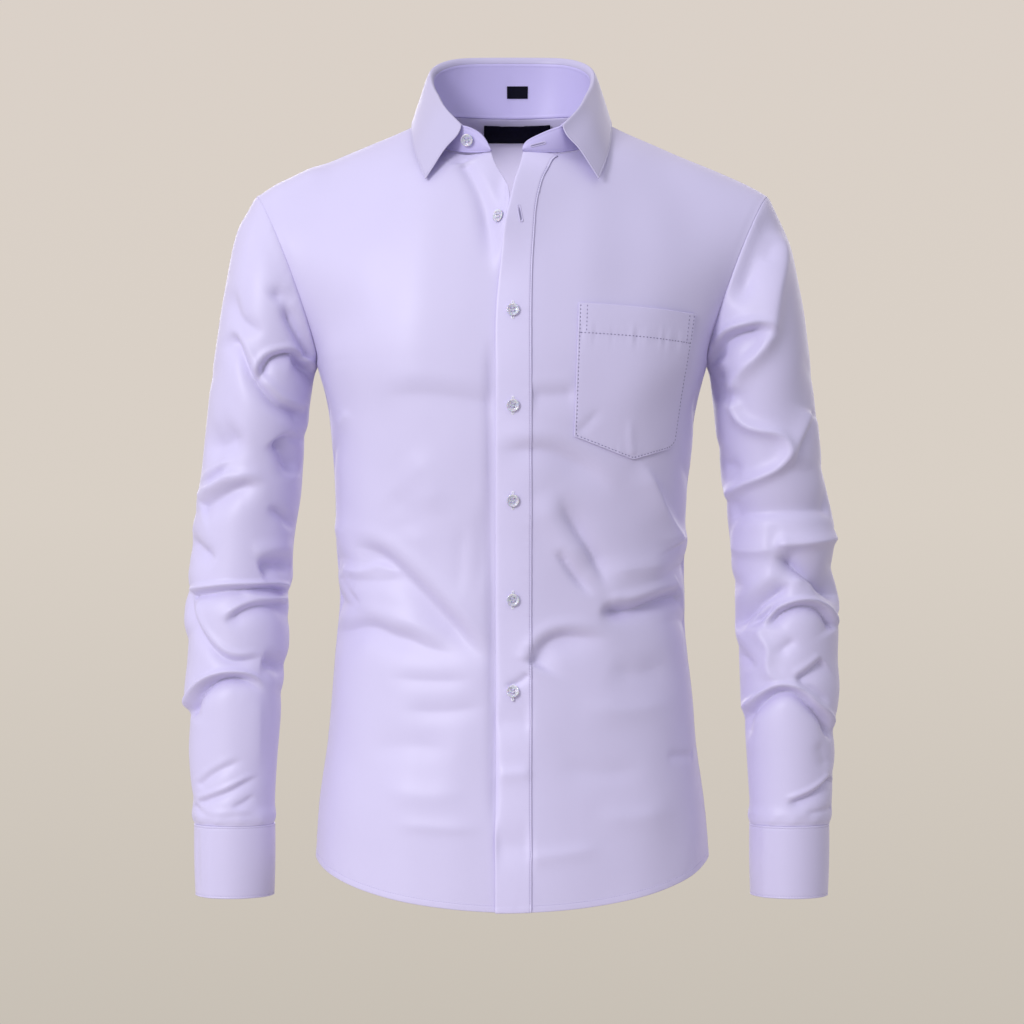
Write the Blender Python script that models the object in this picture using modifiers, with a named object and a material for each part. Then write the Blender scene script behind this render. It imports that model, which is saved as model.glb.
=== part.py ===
"""Long sleeve dress shirt, filled out as if worn, with nobody in it.

Frame: +Z up, the front faces -Y, +X is the wearer's left (buttonhole side, pocket side).
The origin is on the centre plane at the base of the neck, level with the tops of the shoulder seams.
Tables are in millimetres; the meshes are made in metres.
"""
import math

import bmesh
import bpy
import numpy as np
from mathutils import Matrix, Vector

MM = 0.001

# ---------------------------------------------------------------- driving sizes (mm)
CLOTH = 1.2            # wall of the body panels and sleeves
STRIP = 1.1            # wall of the placket strip and the pocket
STAND_WALL = 2.0       # collar stand, two layers and interlining
LEAF_WALL = 1.7        # collar leaf
CUFF_WALL = 1.8        # cuff, two layers and interlining
SEAM = 0.22            # half of the gap kept at a seam
RIDGE = 0.62           # the same at the shoulder seam, where the walls meet at an angle
FRONT_HEM = -704.0     # lowest point of the front tail
BACK_HEM = -716.0      # lowest point of the back tail
SIDE_HEM = -663.0      # hem at the side seams
HEM_DROP = -13.0       # how quickly the hem curves down from the side seam
UNDERARM = (179.0, -214.0)      # x, z of the underarm point
SHOULDER = (235.0, -60.0)       # x, z of the shoulder point
ARM_FRONT, ARM_BACK = 55.0, 68.0    # armhole depth in front and behind
ARM_BOW_FRONT, ARM_BOW_BACK = 9.0, 4.0
SIDE_Y = 3.0           # the side seams lie a little behind the centre
LAP_LIFT = 1.9         # the left front stands off this much where it laps over the right
BUTTON_R, BUTTON_T = 5.75, 2.3
HOLE_R, HOLE_OUT = 0.85, 1.55
Q_ARM = 18.0           # row number at the underarm; 8 more rows run up the armhole

# Body below the underarm: row q from the hem, half width at each side seam, depth in
# front and behind, fullness of the section towards the middle and towards the side.
BODY = [
    # q, right, left, front, back, full_mid, full_side
    (0.0, 179.5, 180.0, 120.0, 113.0, 0.66, 0.62),
    (2.0, 176.5, 176.0, 118.0, 111.0, 0.66, 0.62),
    (4.0, 169.5, 169.0, 115.0, 107.0, 0.66, 0.62),
    (6.0, 165.0, 165.0, 112.0, 102.0, 0.66, 0.62),
    (8.0, 160.8, 159.5, 110.0, 97.0, 0.66, 0.62),
    (9.5, 158.2, 158.2, 110.0, 95.0, 0.66, 0.62),
    (11.0, 160.8, 158.4, 111.0, 97.0, 0.66, 0.63),
    (13.0, 162.0, 160.0, 115.0, 104.0, 0.67, 0.64),
    (15.0, 165.2, 165.0, 120.0, 111.0, 0.69, 0.66),
    (16.5, 169.5, 169.0, 123.0, 115.0, 0.70, 0.69),
    (18.0, 179.0, 179.0, 124.0, 117.0, 0.715, 0.71),
]

# Front above the underarm, one row for each step k up the armhole: the middle line
# (depth, height) and the two control points of the row.
FRONT_UP = [
    # k, mid_y, mid_z, x1, y1, z1, x2, y2, z2
    (2.0, -117.0, -142.0, 110.0, -119.0, -153.0, 172.0, -90.0, -183.0),
    (4.0, -98.0, -68.0, 82.0, -102.0, -81.0, 165.0, -82.0, -118.0),
    (5.0, -80.0, -28.5, 70.0, -86.0, -42.0, 160.0, -64.0, -88.0),
    (6.0, -70.0, -27.5, 95.0, -62.0, -33.0, 168.0, -45.0, -66.0),
    (7.0, -37.0, -11.0, 122.0, -30.0, -19.0, 182.0, -23.0, -46.0),
    (8.0, 0.0, 9.0, 132.0, 0.0, -13.0, 195.0, 0.0, -39.0),
]

# Back above the underarm, the same; the yoke seam is at k = 5 and the neck at 6.5.
BACK_UP = [
    # k, mid_y, mid_z, x1, y1, z1, x2, y2, z2
    (2.0, 118.0, -158.0, 115.0, 119.0, -162.0, 174.0, 95.0, -188.0),
    (4.0, 113.0, -102.0, 104.0, 114.0, -110.0, 167.0, 93.0, -136.0),
    (5.0, 107.0, -75.0, 95.0, 110.0, -85.0, 166.0, 84.0, -108.0),
    (6.0, 80.0, -5.0, 78.0, 90.0, -25.0, 168.0, 64.0, -80.0),
    (6.5, 64.5, 19.0, 75.0, 76.0, -3.0, 172.0, 52.0, -68.0),
    (7.0, 58.0, 19.0, 92.0, 48.0, -6.0, 178.0, 36.0, -55.0),
    (8.0, 0.0, 9.0, 132.0, 0.0, -13.0, 195.0, 0.0, -39.0),
]

# Neckline of one side, by distance along it from the middle of the back.
NECK = [
    # along, x, y, z
    (0.0, 0.0, 64.5, 19.0),
    (30.0, 30.0, 60.5, 19.0),
    (62.0, 58.0, 46.0, 18.5),
    (91.0, 75.0, 23.0, 14.5),
    (115.0, 80.0, 0.0, 9.0),
    (147.0, 77.0, -28.0, -6.0),
    (178.0, 66.0, -55.0, -21.0),
    (202.0, 48.0, -70.0, -27.5),
    (221.0, 30.0, -77.0, -29.0),
]
NECK_END = {1: (241.0, 10.0, -80.0, -28.5), -1: (232.0, 18.8, -79.5, -28.5)}
NECK_SHOULDER = 115.0

# Free edge of each front and the placket's stitched edge (x by height z).
EDGES = [
    # z, left_free, left_stitched, right_free
    (-28.5, 10.0, 46.0, -18.8),
    (-41.0, 7.6, 36.5, -14.2),
    (-52.0, 5.0, 29.0, -8.0),
    (-62.0, 2.0, 25.0, -4.4),
    (-74.0, -0.9, 22.0, -2.0),
    (-102.0, -7.0, 19.3, 8.0),
    (-119.0, -8.8, 18.2, 12.0),
    (-163.0, -13.2, 16.9, 15.0),
    (-214.0, -14.5, 16.8, 15.5),
    (-460.0, -14.7, 16.8, 15.5),
    (-720.0, -14.5, 16.8, 15.5),
]

# Sleeve rings from the armhole to the cuff: where the ring meets the outline outside
# and inside, its depth in front and behind, its middle, and the bow of its faces.
SLEEVE = [
    # outer_x, outer_z, inner_x, inner_z, front, back, mid_y, bow_front, bow_back
    (235.0, -60.0, 179.0, -214.0, 55.0, 68.0, 0.0, 9.0, 4.0),
    (247.0, -82.0, 180.0, -221.0, 60.0, 68.0, 0.0, 5.0, 2.0),
    (256.5, -108.0, 181.3, -228.0, 63.0, 67.0, 0.0, 2.0, 0.0),
    (263.0, -138.0, 182.5, -236.0, 64.0, 66.0, 1.0, 0.0, 0.0),
    (269.0, -172.0, 184.2, -247.0, 63.0, 65.0, 2.0, 0.0, 0.0),
    (274.0, -209.0, 186.2, -261.0, 62.0, 63.0, 3.0, 0.0, 0.0),
    (277.5, -243.0, 187.8, -277.0, 60.0, 61.0, 4.0, 0.0, 0.0),
    (281.5, -275.0, 190.5, -294.0, 58.0, 60.0, 5.0, 0.0, 0.0),
    (285.3, -303.0, 193.0, -313.0, 57.0, 58.0, 6.0, 0.0, 0.0),
    (290.3, -331.0, 195.2, -335.0, 56.0, 57.0, 7.0, 0.0, 0.0),
    (294.8, -359.0, 198.6, -359.0, 55.0, 56.0, 8.0, 0.0, 0.0),
    (294.8, -385.0, 201.6, -385.0, 54.0, 55.0, 8.0, 0.0, 0.0),
    (297.6, -411.0, 202.8, -411.0, 53.0, 54.0, 7.0, 0.0, 0.0),
    (301.0, -437.0, 205.0, -437.0, 52.0, 52.0, 5.0, 0.0, 0.0),
    (299.8, -463.0, 205.5, -463.0, 50.0, 50.0, 3.0, 0.0, 0.0),
    (298.4, -489.0, 208.3, -489.0, 48.0, 48.0, 0.0, 0.0, 0.0),
    (300.0, -515.0, 210.0, -515.0, 46.0, 46.0, -3.0, 0.0, 0.0),
    (296.5, -541.0, 212.0, -541.0, 44.0, 44.0, -6.0, 0.0, 0.0),
    (296.0, -567.0, 214.5, -567.0, 42.0, 42.0, -9.0, 0.0, 0.0),
    (294.0, -593.0, 216.2, -593.0, 40.0, 40.0, -12.0, 0.0, 0.0),
    (292.4, -615.0, 217.3, -615.0, 38.5, 38.5, -14.0, 0.0, 0.0),
    (290.8, -634.2, 217.2, -634.2, 38.0, 38.0, -15.0, 0.0, 0.0),
]
CUFF_TOP, CUFF_BOTTOM = -634.8, -699.6
CUFF_MID = (253.8, -15.0)       # x, y of the cuff's axis
CUFF_R = (36.7, 38.0)           # half width and half depth
CUFF_STEP = 15                  # degrees for each column; the ends overlap by two
CUFF_END = 105                  # the visible end, in degrees from the front

# Collar, one side, by the distance along the neckline: the fold line (top of the
# collar) and the leaf's free edge.
COLLAR = [
    # along, fold_x, fold_y, fold_z, edge_x, edge_y, edge_z
    (0.0, 0.0, 59.0, 76.5, 0.0, 77.0, 24.0),
    (30.0, 31.0, 56.0, 75.9, 38.0, 70.0, 23.5),
    (62.0, 56.5, 43.0, 71.8, 69.0, 51.0, 21.0),
    (91.0, 72.8, 19.0, 59.0, 87.0, 24.0, 16.0),
    (115.0, 71.8, -6.0, 43.0, 91.8, -3.0, 8.0),
    (147.0, 66.0, -31.0, 29.5, 90.2, -41.0, -13.5),
    (178.0, 58.0, -58.0, 13.0, 84.5, -70.0, -34.5),
    (202.0, 44.5, -79.0, -4.0, 77.5, -87.0, -52.0),
]
STAND_DROP = 6.5       # the stand's top seam lies this far below the fold line
# The stand's front ends, past the leaf: distance past its end and height of the top edge.
STAND_ENDS = {
    1: [(0.0, 43.5, -79.5, -5.0), (10.0, 33.0, -80.0, -8.5), (20.0, 21.5, -80.5, -13.5),
        (30.0, 12.8, -80.8, -18.5), (39.0, 9.4, -80.8, -23.5)],
    -1: [(0.0, 44.5, -79.5, -4.5), (10.0, 38.0, -80.0, -6.0), (18.0, 29.5, -80.5, -10.5),
         (25.0, 23.5, -80.8, -17.0), (30.0, 19.6, -80.8, -23.5)],
}

# Pocket outline on the left front: x of the two sides and z of the top and bottom, by
# the fraction across.
POCKET = [
    # across, top_x, top_z, bottom_x, bottom_z
    (0.0, 59.0, -165.5, 55.0, -283.0),
    (0.285, 88.0, -167.0, 81.0, -293.0),
    (0.57, 118.0, -169.5, 107.0, -303.0),
    (0.785, 140.5, -171.8, 127.0, -297.5),
    (1.0, 162.0, -174.5, 146.0, -287.0),
]

# Largest folds: height (+ ridge, - trough), width on the left and on the right of the
# direction of travel, and the path as (x, z) pairs seen from the front.
FOLDS_BODY = [
    (-5.0, 12.0, 24.0, [(-117, -380), (-91, -394), (-70, -418), (-51, -442), (-22, -473)]),
    (3.5, 14.0, 12.0, [(-150, -394), (-120, -398), (-94, -400)]),
    (-5.5, 12.0, 24.0, [(-152, -448), (-118, -452), (-89, -462), (-51, -473)]),
    (-6.5, 10.0, 26.0, [(78, -431), (102, -434), (128, -426), (157, -417)]),
    (-4.0, 10.0, 20.0, [(20, -478), (30, -462), (48, -455), (67, -456), (90, -459)]),
    (3.0, 16.0, 12.0, [(40, -372), (56, -392), (72, -416)]),
]
FOLDS_BACK = [
    (-5.5, 14.0, 26.0, [(-146, -402), (-96, -424), (-44, -440)]),
    (-5.0, 14.0, 24.0, [(36, -432), (92, -416), (148, -392)]),
    (-4.0, 16.0, 24.0, [(-110, -478), (-30, -494), (60, -486), (128, -462)]),
    (3.5, 20.0, 20.0, [(-60, -368), (-8, -384), (52, -374)]),
]
FOLDS_RIGHT_SLEEVE = [
    (-4.0, 10.0, 20.0, [(-256, -150), (-243, -185), (-229, -216), (-208, -240)]),
    (-4.5, 9.0, 18.0, [(-236, -232), (-223, -247), (-206, -259), (-185, -264)]),
    (-5.0, 9.0, 18.0, [(-287, -345), (-259, -330), (-240, -321), (-223, -326)]),
    (4.0, 12.0, 12.0, [(-286, -333), (-262, -318), (-243, -303)]),
    (-6.0, 8.0, 15.0, [(-297, -421), (-263, -416), (-235, -416), (-198, -421)]),
    (4.0, 10.0, 10.0, [(-262, -450), (-243, -439), (-228, -435), (-200, -437)]),
    (-4.5, 9.0, 16.0, [(-296, -446), (-283, -468), (-268, -479), (-247, -485), (-226, -481)]),
    (-5.0, 8.0, 16.0, [(-293, -527), (-283, -508), (-268, -498), (-252, -496), (-226, -507)]),
]
FOLDS_LEFT_SLEEVE = [
    (-5.0, 12.0, 16.0, [(184, -203), (195, -190), (212, -181), (234, -182)]),
    (4.5, 14.0, 14.0, [(250, -112), (244, -158), (233, -198), (208, -238)]),
    (-5.0, 10.0, 18.0, [(195, -258), (220, -269), (241, -278), (246, -292), (232, -312), (198, -344)]),
    (-6.0, 10.0, 18.0, [(240, -388), (258, -379), (292, -377)]),
    (-5.0, 8.0, 14.0, [(202, -449), (221, -431), (240, -412)]),
    (-4.5, 8.0, 14.0, [(228, -454), (244, -436), (262, -429), (280, -432), (297, -452)]),
    (-5.0, 8.0, 16.0, [(208, -544), (220, -524), (239, -510), (256, -508), (276, -523), (295, -550)]),
]
FOLDS_SLEEVE_BACK = [
    (-5.0, 10.0, 16.0, [(206, -330), (238, -338), (276, -326)]),
    (-6.0, 10.0, 16.0, [(208, -408), (246, -420), (292, -410)]),
    (-5.0, 9.0, 16.0, [(212, -470), (248, -478), (290, -462)]),
    (-4.0, 9.0, 14.0, [(216, -528), (250, -536), (288, -524)]),
]

# Buttons on the placket (height), and the open one on the right front.
BUTTONS_FASTENED = [-171.9, -255.7, -339.4, -427.8, -509.2]
BUTTON_OPEN = (-11.6, -88.4)


# ---------------------------------------------------------------- helpers
def spline(keys, rows):
    """Natural cubic spline through the rows."""
    k = np.array(keys, float)
    y = np.array(rows, float)
    n, h = len(k), np.diff(k)
    a = np.zeros((n, n))
    b = np.zeros(y.shape)
    a[0, 0] = a[-1, -1] = 1.0
    for i in range(1, n - 1):
        a[i, i - 1], a[i, i], a[i, i + 1] = h[i - 1], 2 * (h[i - 1] + h[i]), h[i]
        b[i] = 6 * ((y[i + 1] - y[i]) / h[i] - (y[i] - y[i - 1]) / h[i - 1])
    m = np.linalg.solve(a, b)

    def at(t):
        t = np.clip(np.asarray(t, float), k[0], k[-1])
        i = np.clip(np.searchsorted(k, t, side="right") - 1, 0, n - 2)
        hh, u, v = h[i], k[i + 1] - t, t - k[i]
        if y.ndim > 1:
            hh, u, v = hh[..., None], u[..., None], v[..., None]
        return (m[i] * u**3 + m[i + 1] * v**3) / (6 * hh) + (y[i] / hh - m[i] * hh / 6) * u + (
            y[i + 1] / hh - m[i + 1] * hh / 6) * v

    return at


def ramp(a, b, t):
    t = np.clip((np.asarray(t, float) - a) / (b - a), 0.0, 1.0)
    return t * t * (3 - 2 * t)


def pts(*cols):
    return np.stack(np.broadcast_arrays(*[np.asarray(c, float) for c in cols]), axis=-1)


def unit(v):
    return v / np.maximum(np.linalg.norm(v, axis=-1, keepdims=True), 1e-9)


# ---------------------------------------------------------------- neckline and armhole
NECK_AT = {}
for _side in (1, -1):
    _rows = NECK + [NECK_END[_side]]
    NECK_AT[_side] = spline([r[0] for r in _rows], [r[1:] for r in _rows])


def neck(side, along):
    p = NECK_AT[side](along)
    return p * np.array([side, 1.0, 1.0])


def armhole(front, k):
    """Armhole seam of the +X side: k 0 at the underarm, 8 at the shoulder point."""
    a = np.asarray(k, float) * math.pi / 8
    mx, mz = (SHOULDER[0] + UNDERARM[0]) / 2, (SHOULDER[1] + UNDERARM[1]) / 2
    hx, hz = (SHOULDER[0] - UNDERARM[0]) / 2, (SHOULDER[1] - UNDERARM[1]) / 2
    bow = ARM_BOW_FRONT if front else ARM_BOW_BACK
    deep = -ARM_FRONT if front else ARM_BACK
    return pts(mx - hx * np.cos(a) - bow * np.sin(a), deep * np.sin(a), mz - hz * np.cos(a))


# ---------------------------------------------------------------- body surface
def body_rows(front, side):
    """Splines over the row number q for the middle point and the two control points."""
    keys, mid, one, two = [], [], [], []
    hem = FRONT_HEM if front else BACK_HEM
    sign = -1.0 if front else 1.0
    for q, right, left, f, b, fm, fs in BODY:
        w = left if side > 0 else right
        d = f if front else b
        zm = hem + (UNDERARM[1] - hem) * q / Q_ARM
        zs = SIDE_HEM + (UNDERARM[1] - SIDE_HEM) * q / Q_ARM
        drop = HEM_DROP * max(0.0, 1 - q / 4) ** 2
        keys.append(q)
        mid.append((0.0, sign * d, zm))
        one.append((fm * w, sign * d, zm + 0.05 * (zs - zm)))
        two.append((w, sign * d * fs, zs + drop))
    for k, my, mz, x1, y1, z1, x2, y2, z2 in (FRONT_UP if front else BACK_UP):
        keys.append(Q_ARM + k)
        mid.append((0.0, my, mz))
        one.append((x1, y1, z1))
        two.append((x2, y2, z2))
    top = Q_ARM + (5.0 if front else 6.5)
    n = keys.index(top) + 1
    return spline(keys[:n], mid[:n]), spline(keys, one), spline(keys, two)


ROWS = {(f, s): body_rows(f, s) for f in (True, False) for s in (1, -1)}
WIDTH = {s: spline([r[0] for r in BODY], [r[2] if s > 0 else r[1] for r in BODY]) for s in (1, -1)}


def controls(front, side, q):
    """The four control points of row q on the +X side (the other side is mirrored)."""
    q = np.asarray(q, float)
    mid, one, two = ROWS[(front, side)]
    k = np.clip(q - Q_ARM, 0.0, 8.0)
    p1, p2 = one(q), two(q)
    p0 = mid(q)
    edge = NECK_AT[side]
    if front:
        end = NECK_END[side]
        p0 = p0 + pts(end[1] * ramp(Q_ARM + 3.0, Q_ARM + 5.0, q), 0 * q, 0 * q)
        neck_pt = edge(end[0] + (NECK_SHOULDER - end[0]) * (k - 5.0) / 3.0)
        p0 = np.where((k > 5.0)[..., None], neck_pt, p0)
    else:
        neck_pt = edge(NECK_SHOULDER * (k - 6.5) / 1.5)
        p0 = np.where((k > 6.5)[..., None], neck_pt, p0)
    zs = SIDE_HEM + (UNDERARM[1] - SIDE_HEM) * np.minimum(q, Q_ARM) / Q_ARM
    low = pts(WIDTH[side](np.minimum(q, Q_ARM)), SIDE_Y * (1 - ramp(14.0, Q_ARM, q)), zs)
    p3 = np.where((q > Q_ARM)[..., None], armhole(front, k), low)
    return p0, p1, p2, p3


def row_point(c, s):
    s = np.asarray(s, float)[..., None]
    return c[0] * (1 - s) ** 3 + c[1] * 3 * s * (1 - s) ** 2 + c[2] * 3 * s * s * (1 - s) + c[3] * s**3


def body(front, side, s, q):
    return row_point(controls(front, side, q), s) * np.array([side, 1.0, 1.0])


def find(front, side, x, z):
    """Row parameters of the surface point seen at (x, z)."""
    x, z = np.atleast_1d(np.asarray(x, float)), np.atleast_1d(np.asarray(z, float))
    s = np.clip(np.abs(x) / 200.0, 0.02, 0.85)
    q = np.clip((z + 704.0) / 27.2, 0.5, 23.0)
    for _ in range(14):
        p = body(front, side, s, q)
        ds = (body(front, side, s + 1e-3, q) - p) / 1e-3
        dq = (body(front, side, s, q + 1e-3) - p) / 1e-3
        ex, ez = x - p[..., 0], z - p[..., 2]
        det = ds[..., 0] * dq[..., 2] - dq[..., 0] * ds[..., 2]
        det = np.where(np.abs(det) < 1e-6, 1e-6, det)
        s = s + np.clip((ex * dq[..., 2] - dq[..., 0] * ez) / det, -0.2, 0.2)
        q = np.clip(q + np.clip((ds[..., 0] * ez - ex * ds[..., 2]) / det, -2.0, 2.0), -0.4, 26.0)
    return s, q


def body_normal(front, side, s, q):
    e = 1e-3
    qa, qb = np.maximum(q - e, 0.0), np.minimum(q + e, Q_ARM + 8.0)
    ds = body(front, side, s + e, q) - body(front, side, s - e, q)
    dq = body(front, side, s, qb) - body(front, side, s, qa)
    n = unit(np.cross(ds, dq))
    away = -1.0 if front else 1.0
    mostly = np.sign(np.sum(n[..., 1] * away))
    return n * (mostly if mostly else 1.0)


# ---------------------------------------------------------------- folds
def smooth_path(path, per=6):
    p = np.array(path, float)
    along = np.concatenate([[0.0], np.cumsum(np.linalg.norm(np.diff(p, axis=0), axis=1))])
    return spline(along, p)(np.linspace(0, along[-1], per * (len(p) - 1) + 1))


def crease(x, z, left, right, path):
    """1 on the path, falling off smoothly to each side and towards both ends."""
    p = smooth_path(path)
    best, out = np.full(x.shape, 1e18), np.zeros(x.shape)
    for i in range(len(p) - 1):
        a, d = p[i], p[i + 1] - p[i]
        t = np.clip(((x - a[0]) * d[0] + (z - a[1]) * d[1]) / (d @ d), 0, 1)
        dx, dz = x - a[0] - t * d[0], z - a[1] - t * d[1]
        d2 = dx * dx + dz * dz
        w = np.where(d[0] * dz - d[1] * dx > 0, left, right)
        f = (i + t) / (len(p) - 1)
        value = np.exp(-d2 / (w * w)) * np.sin(math.pi * (0.1 + 0.8 * f)) ** 0.7
        out = np.where(d2 < best, value, out)
        best = np.minimum(best, d2)
    return out


def folds(table, x, z, facing):
    h = np.zeros(np.shape(x))
    for height, left, right, path in table:
        h = h + height * crease(x, z, left, right, path)
    return h * ramp(-0.3, 0.5, facing)


def body_fold(front, p, n, q):
    facing = -n[..., 1] if front else n[..., 1]
    h = folds(FOLDS_BODY if front else FOLDS_BACK, p[..., 0], p[..., 2], facing)
    return h


def skin(front, side, s, q, out):
    """Point of the finished cloth, moved out along the normal by out."""
    p = body(front, side, s, q)
    n = body_normal(front, side, s, q)
    edge = 1 - ramp(0.94, 1.0, s)         # the seams keep their own line
    h = body_fold(front, p, n, q) * edge
    return p + n * (h + out)[..., None]


def lap(x, z):
    """How far the left front stands off where it laps over the right one."""
    return LAP_LIFT * (1 - ramp(20.0, 60.0, x)) * ramp(32.0, 66.0, -z)


# ---------------------------------------------------------------- mesh makers
SHIRT = "long_sleeve_dress_shirt"


def fresh():
    for ob in list(bpy.data.objects):
        bpy.data.objects.remove(ob, do_unlink=True)
    for c in list(bpy.data.collections):
        bpy.data.collections.remove(c)


def collection(name):
    c = bpy.data.collections.new(name)
    bpy.context.scene.collection.children.link(c)
    return c


def material(name, colour, rough, metal=0.0, sheen=0.0):
    m = bpy.data.materials.new(name)
    m.use_nodes = True
    b = m.node_tree.nodes["Principled BSDF"]
    b.inputs["Base Color"].default_value = (*colour, 1.0)
    b.inputs["Roughness"].default_value = rough
    b.inputs["Metallic"].default_value = metal
    b.inputs["Sheen Weight"].default_value = sheen
    m.diffuse_color = (*colour, 1.0)
    return m


def sheet(name, where, nu, nv, fn, wall, mat, outward, weld=False):
    """A grid of nu by nv faces laid on fn(column, row), given a wall inwards."""
    bm = bmesh.new()
    bmesh.ops.create_grid(bm, x_segments=nu, y_segments=nv, size=0.5)
    vs = list(bm.verts)
    col = np.array([round((v.co.x + 0.5) * nu) for v in vs])
    row = np.array([round((v.co.y + 0.5) * nv) for v in vs])
    p = fn(col, row)
    for v, q in zip(vs, p):
        v.co = Vector((float(q[0]) * MM, float(q[1]) * MM, float(q[2]) * MM))
    if weld:
        bmesh.ops.remove_doubles(bm, verts=list(bm.verts), dist=1e-6)
    bm.normal_update()
    total = 0.0
    for f in bm.faces:
        c = f.calc_center_median()
        total += f.calc_area() * f.normal.dot(outward(c))
    if total < 0:
        bmesh.ops.reverse_faces(bm, faces=list(bm.faces))
    me = bpy.data.meshes.new(name)
    bm.to_mesh(me)
    bm.free()
    ob = bpy.data.objects.new(name, me)
    where.objects.link(ob)
    ob.data.materials.append(mat)
    sol = ob.modifiers.new("wall", "SOLIDIFY")
    sol.thickness = wall * MM
    sol.offset = -1.0
    sol.use_even_offset = True
    sol.use_quality_normals = True
    return ob


def forward(c):
    return Vector((0.0, -1.0, 0.0))


def backward(c):
    return Vector((0.0, 1.0, 0.0))


def upward(c):
    return Vector((0.0, 0.3, 1.0))


def from_axis(x, y):
    def out(c):
        return Vector((c.x - x * MM, c.y - y * MM, 0.0))
    return out


# ---------------------------------------------------------------- panels
K_FRONT = [0.0, 1.0, 2.0, 3.0, 4.0, 5.0, 5.5, 5.95, 6.5, 7.2, 8.0]
K_BACK = [0.0, 1.0, 2.0, 3.0, 4.0, 5.0, 5.5, 6.0, 6.5, 7.0, 7.5, 8.0]
FRONT_COLS, BACK_COLS, LOW_ROWS = 9, 7, 17      # columns of a front and of half the back; rows below the underarm
Q_LOW = [Q_ARM * i / LOW_ROWS for i in range(LOW_ROWS)]
Q_FRONT = Q_LOW + [Q_ARM + k for k in K_FRONT]
LEFT_FREE = spline([r[0] for r in reversed(EDGES)], [r[1] for r in reversed(EDGES)])
LEFT_STITCHED = spline([r[0] for r in reversed(EDGES)], [r[2] for r in reversed(EDGES)])
RIGHT_FREE = spline([r[0] for r in reversed(EDGES)], [r[3] for r in reversed(EDGES)])


def s_at(side, q, line):
    """Row parameter where row q crosses the line x(z)."""
    c = controls(True, side, q)
    s = np.full(np.shape(q), 0.05)
    for _ in range(20):
        p = row_point(c, s)
        d = (row_point(c, s + 1e-3)[..., 0] - p[..., 0]) / 1e-3
        s = s + np.clip((side * line(p[..., 2]) - p[..., 0]) / np.maximum(d, 60.0), -0.1, 0.1)
    return s


def front_columns(side, col, q):
    """Row parameter of each column: on the left front, columns 0 to 2 are the placket."""
    k = q - Q_ARM
    if side > 0:
        s0 = np.where(k >= 5.0, 0.0, s_at(1, q, LEFT_FREE))
        s2 = np.where(k >= 5.95, 0.07, s_at(1, q, LEFT_STITCHED))
        t = np.where(col <= 2, col / 2.0, 0.0)
        near = s0 + (s2 - s0) * t
        far = s2 + (1 - s2) * (col - 2) / (FRONT_COLS - 2.0)
        return np.where(col <= 2, near, far)
    s0 = np.where(k >= 5.0, 0.0, s_at(-1, q, RIGHT_FREE))
    return s0 + (1 - s0) * col / float(FRONT_COLS)


def seam_pull(front, p, s, q):
    """Keeps the gap at the side seam and at the shoulder seam."""
    away = -1.0 if front else 1.0
    pull = SEAM * ((s > 0.999) & (q <= Q_ARM + 0.01)) + RIDGE * (q > Q_ARM + 7.99)
    p = p.copy()
    p[..., 1] += away * pull
    return p


def front_panel(side):
    rows = np.array(Q_FRONT)

    def fn(col, row):
        q = rows[row]
        s = front_columns(side, col, q)
        base = body(True, side, s, q)
        out = lap(base[..., 0], base[..., 2]) if side > 0 else 0.0 * q
        return seam_pull(True, skin(True, side, s, q, out), s, q)
    return fn


def placket_strip(col, row):
    q = np.array(Q_FRONT)[row]
    s = front_columns(1, col, q)
    base = body(True, 1, s, q)
    return skin(True, 1, s, q, lap(base[..., 0], base[..., 2]) + STRIP + 0.35)


BACK_LOW = Q_LOW + [Q_ARM + k for k in (0.0, 1.0, 2.0, 3.0, 4.0)] + [Q_ARM + 4.991]
YOKE_ROWS = [Q_ARM + 5.009] + [Q_ARM + k for k in (5.5, 6.0, 6.5, 7.0, 7.5, 8.0)]


def back_half(rows, side, n):
    q_of = np.array(rows)

    def fn(col, row):
        q = q_of[row]
        s = col / float(n)
        return seam_pull(False, skin(False, side, s, q, 0.0 * q), s, q)
    return fn


def back_panel(rows, n):
    """Both halves in one grid: columns run from the right side seam to the left one."""
    left, right = back_half(rows, 1, n), back_half(rows, -1, n)

    def fn(col, row):
        a = left(np.maximum(col - n, 0), row)
        b = right(np.maximum(n - col, 0), row)
        return np.where((col >= n)[:, None], a, b)
    return fn


# ---------------------------------------------------------------- sleeves and cuffs
RINGS = spline([i for i in range(len(SLEEVE))], SLEEVE)


def ring_point(front, k, r):
    """Sleeve of the +X side: k as on the armhole, r the ring number."""
    c = RINGS(r)
    ox, oz, ix, iz, df, db, my, bf, bb = [c[..., i] for i in range(9)]
    a = np.asarray(k, float) * math.pi / 8
    deep = np.where(front, -df, db)
    bow = np.where(front, bf, bb)
    return pts((ox + ix) / 2 - (ox - ix) / 2 * np.cos(a) - bow * np.sin(a), my + deep * np.sin(a),
               (oz + iz) / 2 - (oz - iz) / 2 * np.cos(a))


RING_K = [(True, k) for k in K_FRONT] + [(False, k) for k in reversed(K_BACK[:-1])]
SLEEVE_COLS = len(RING_K) - 1


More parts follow.
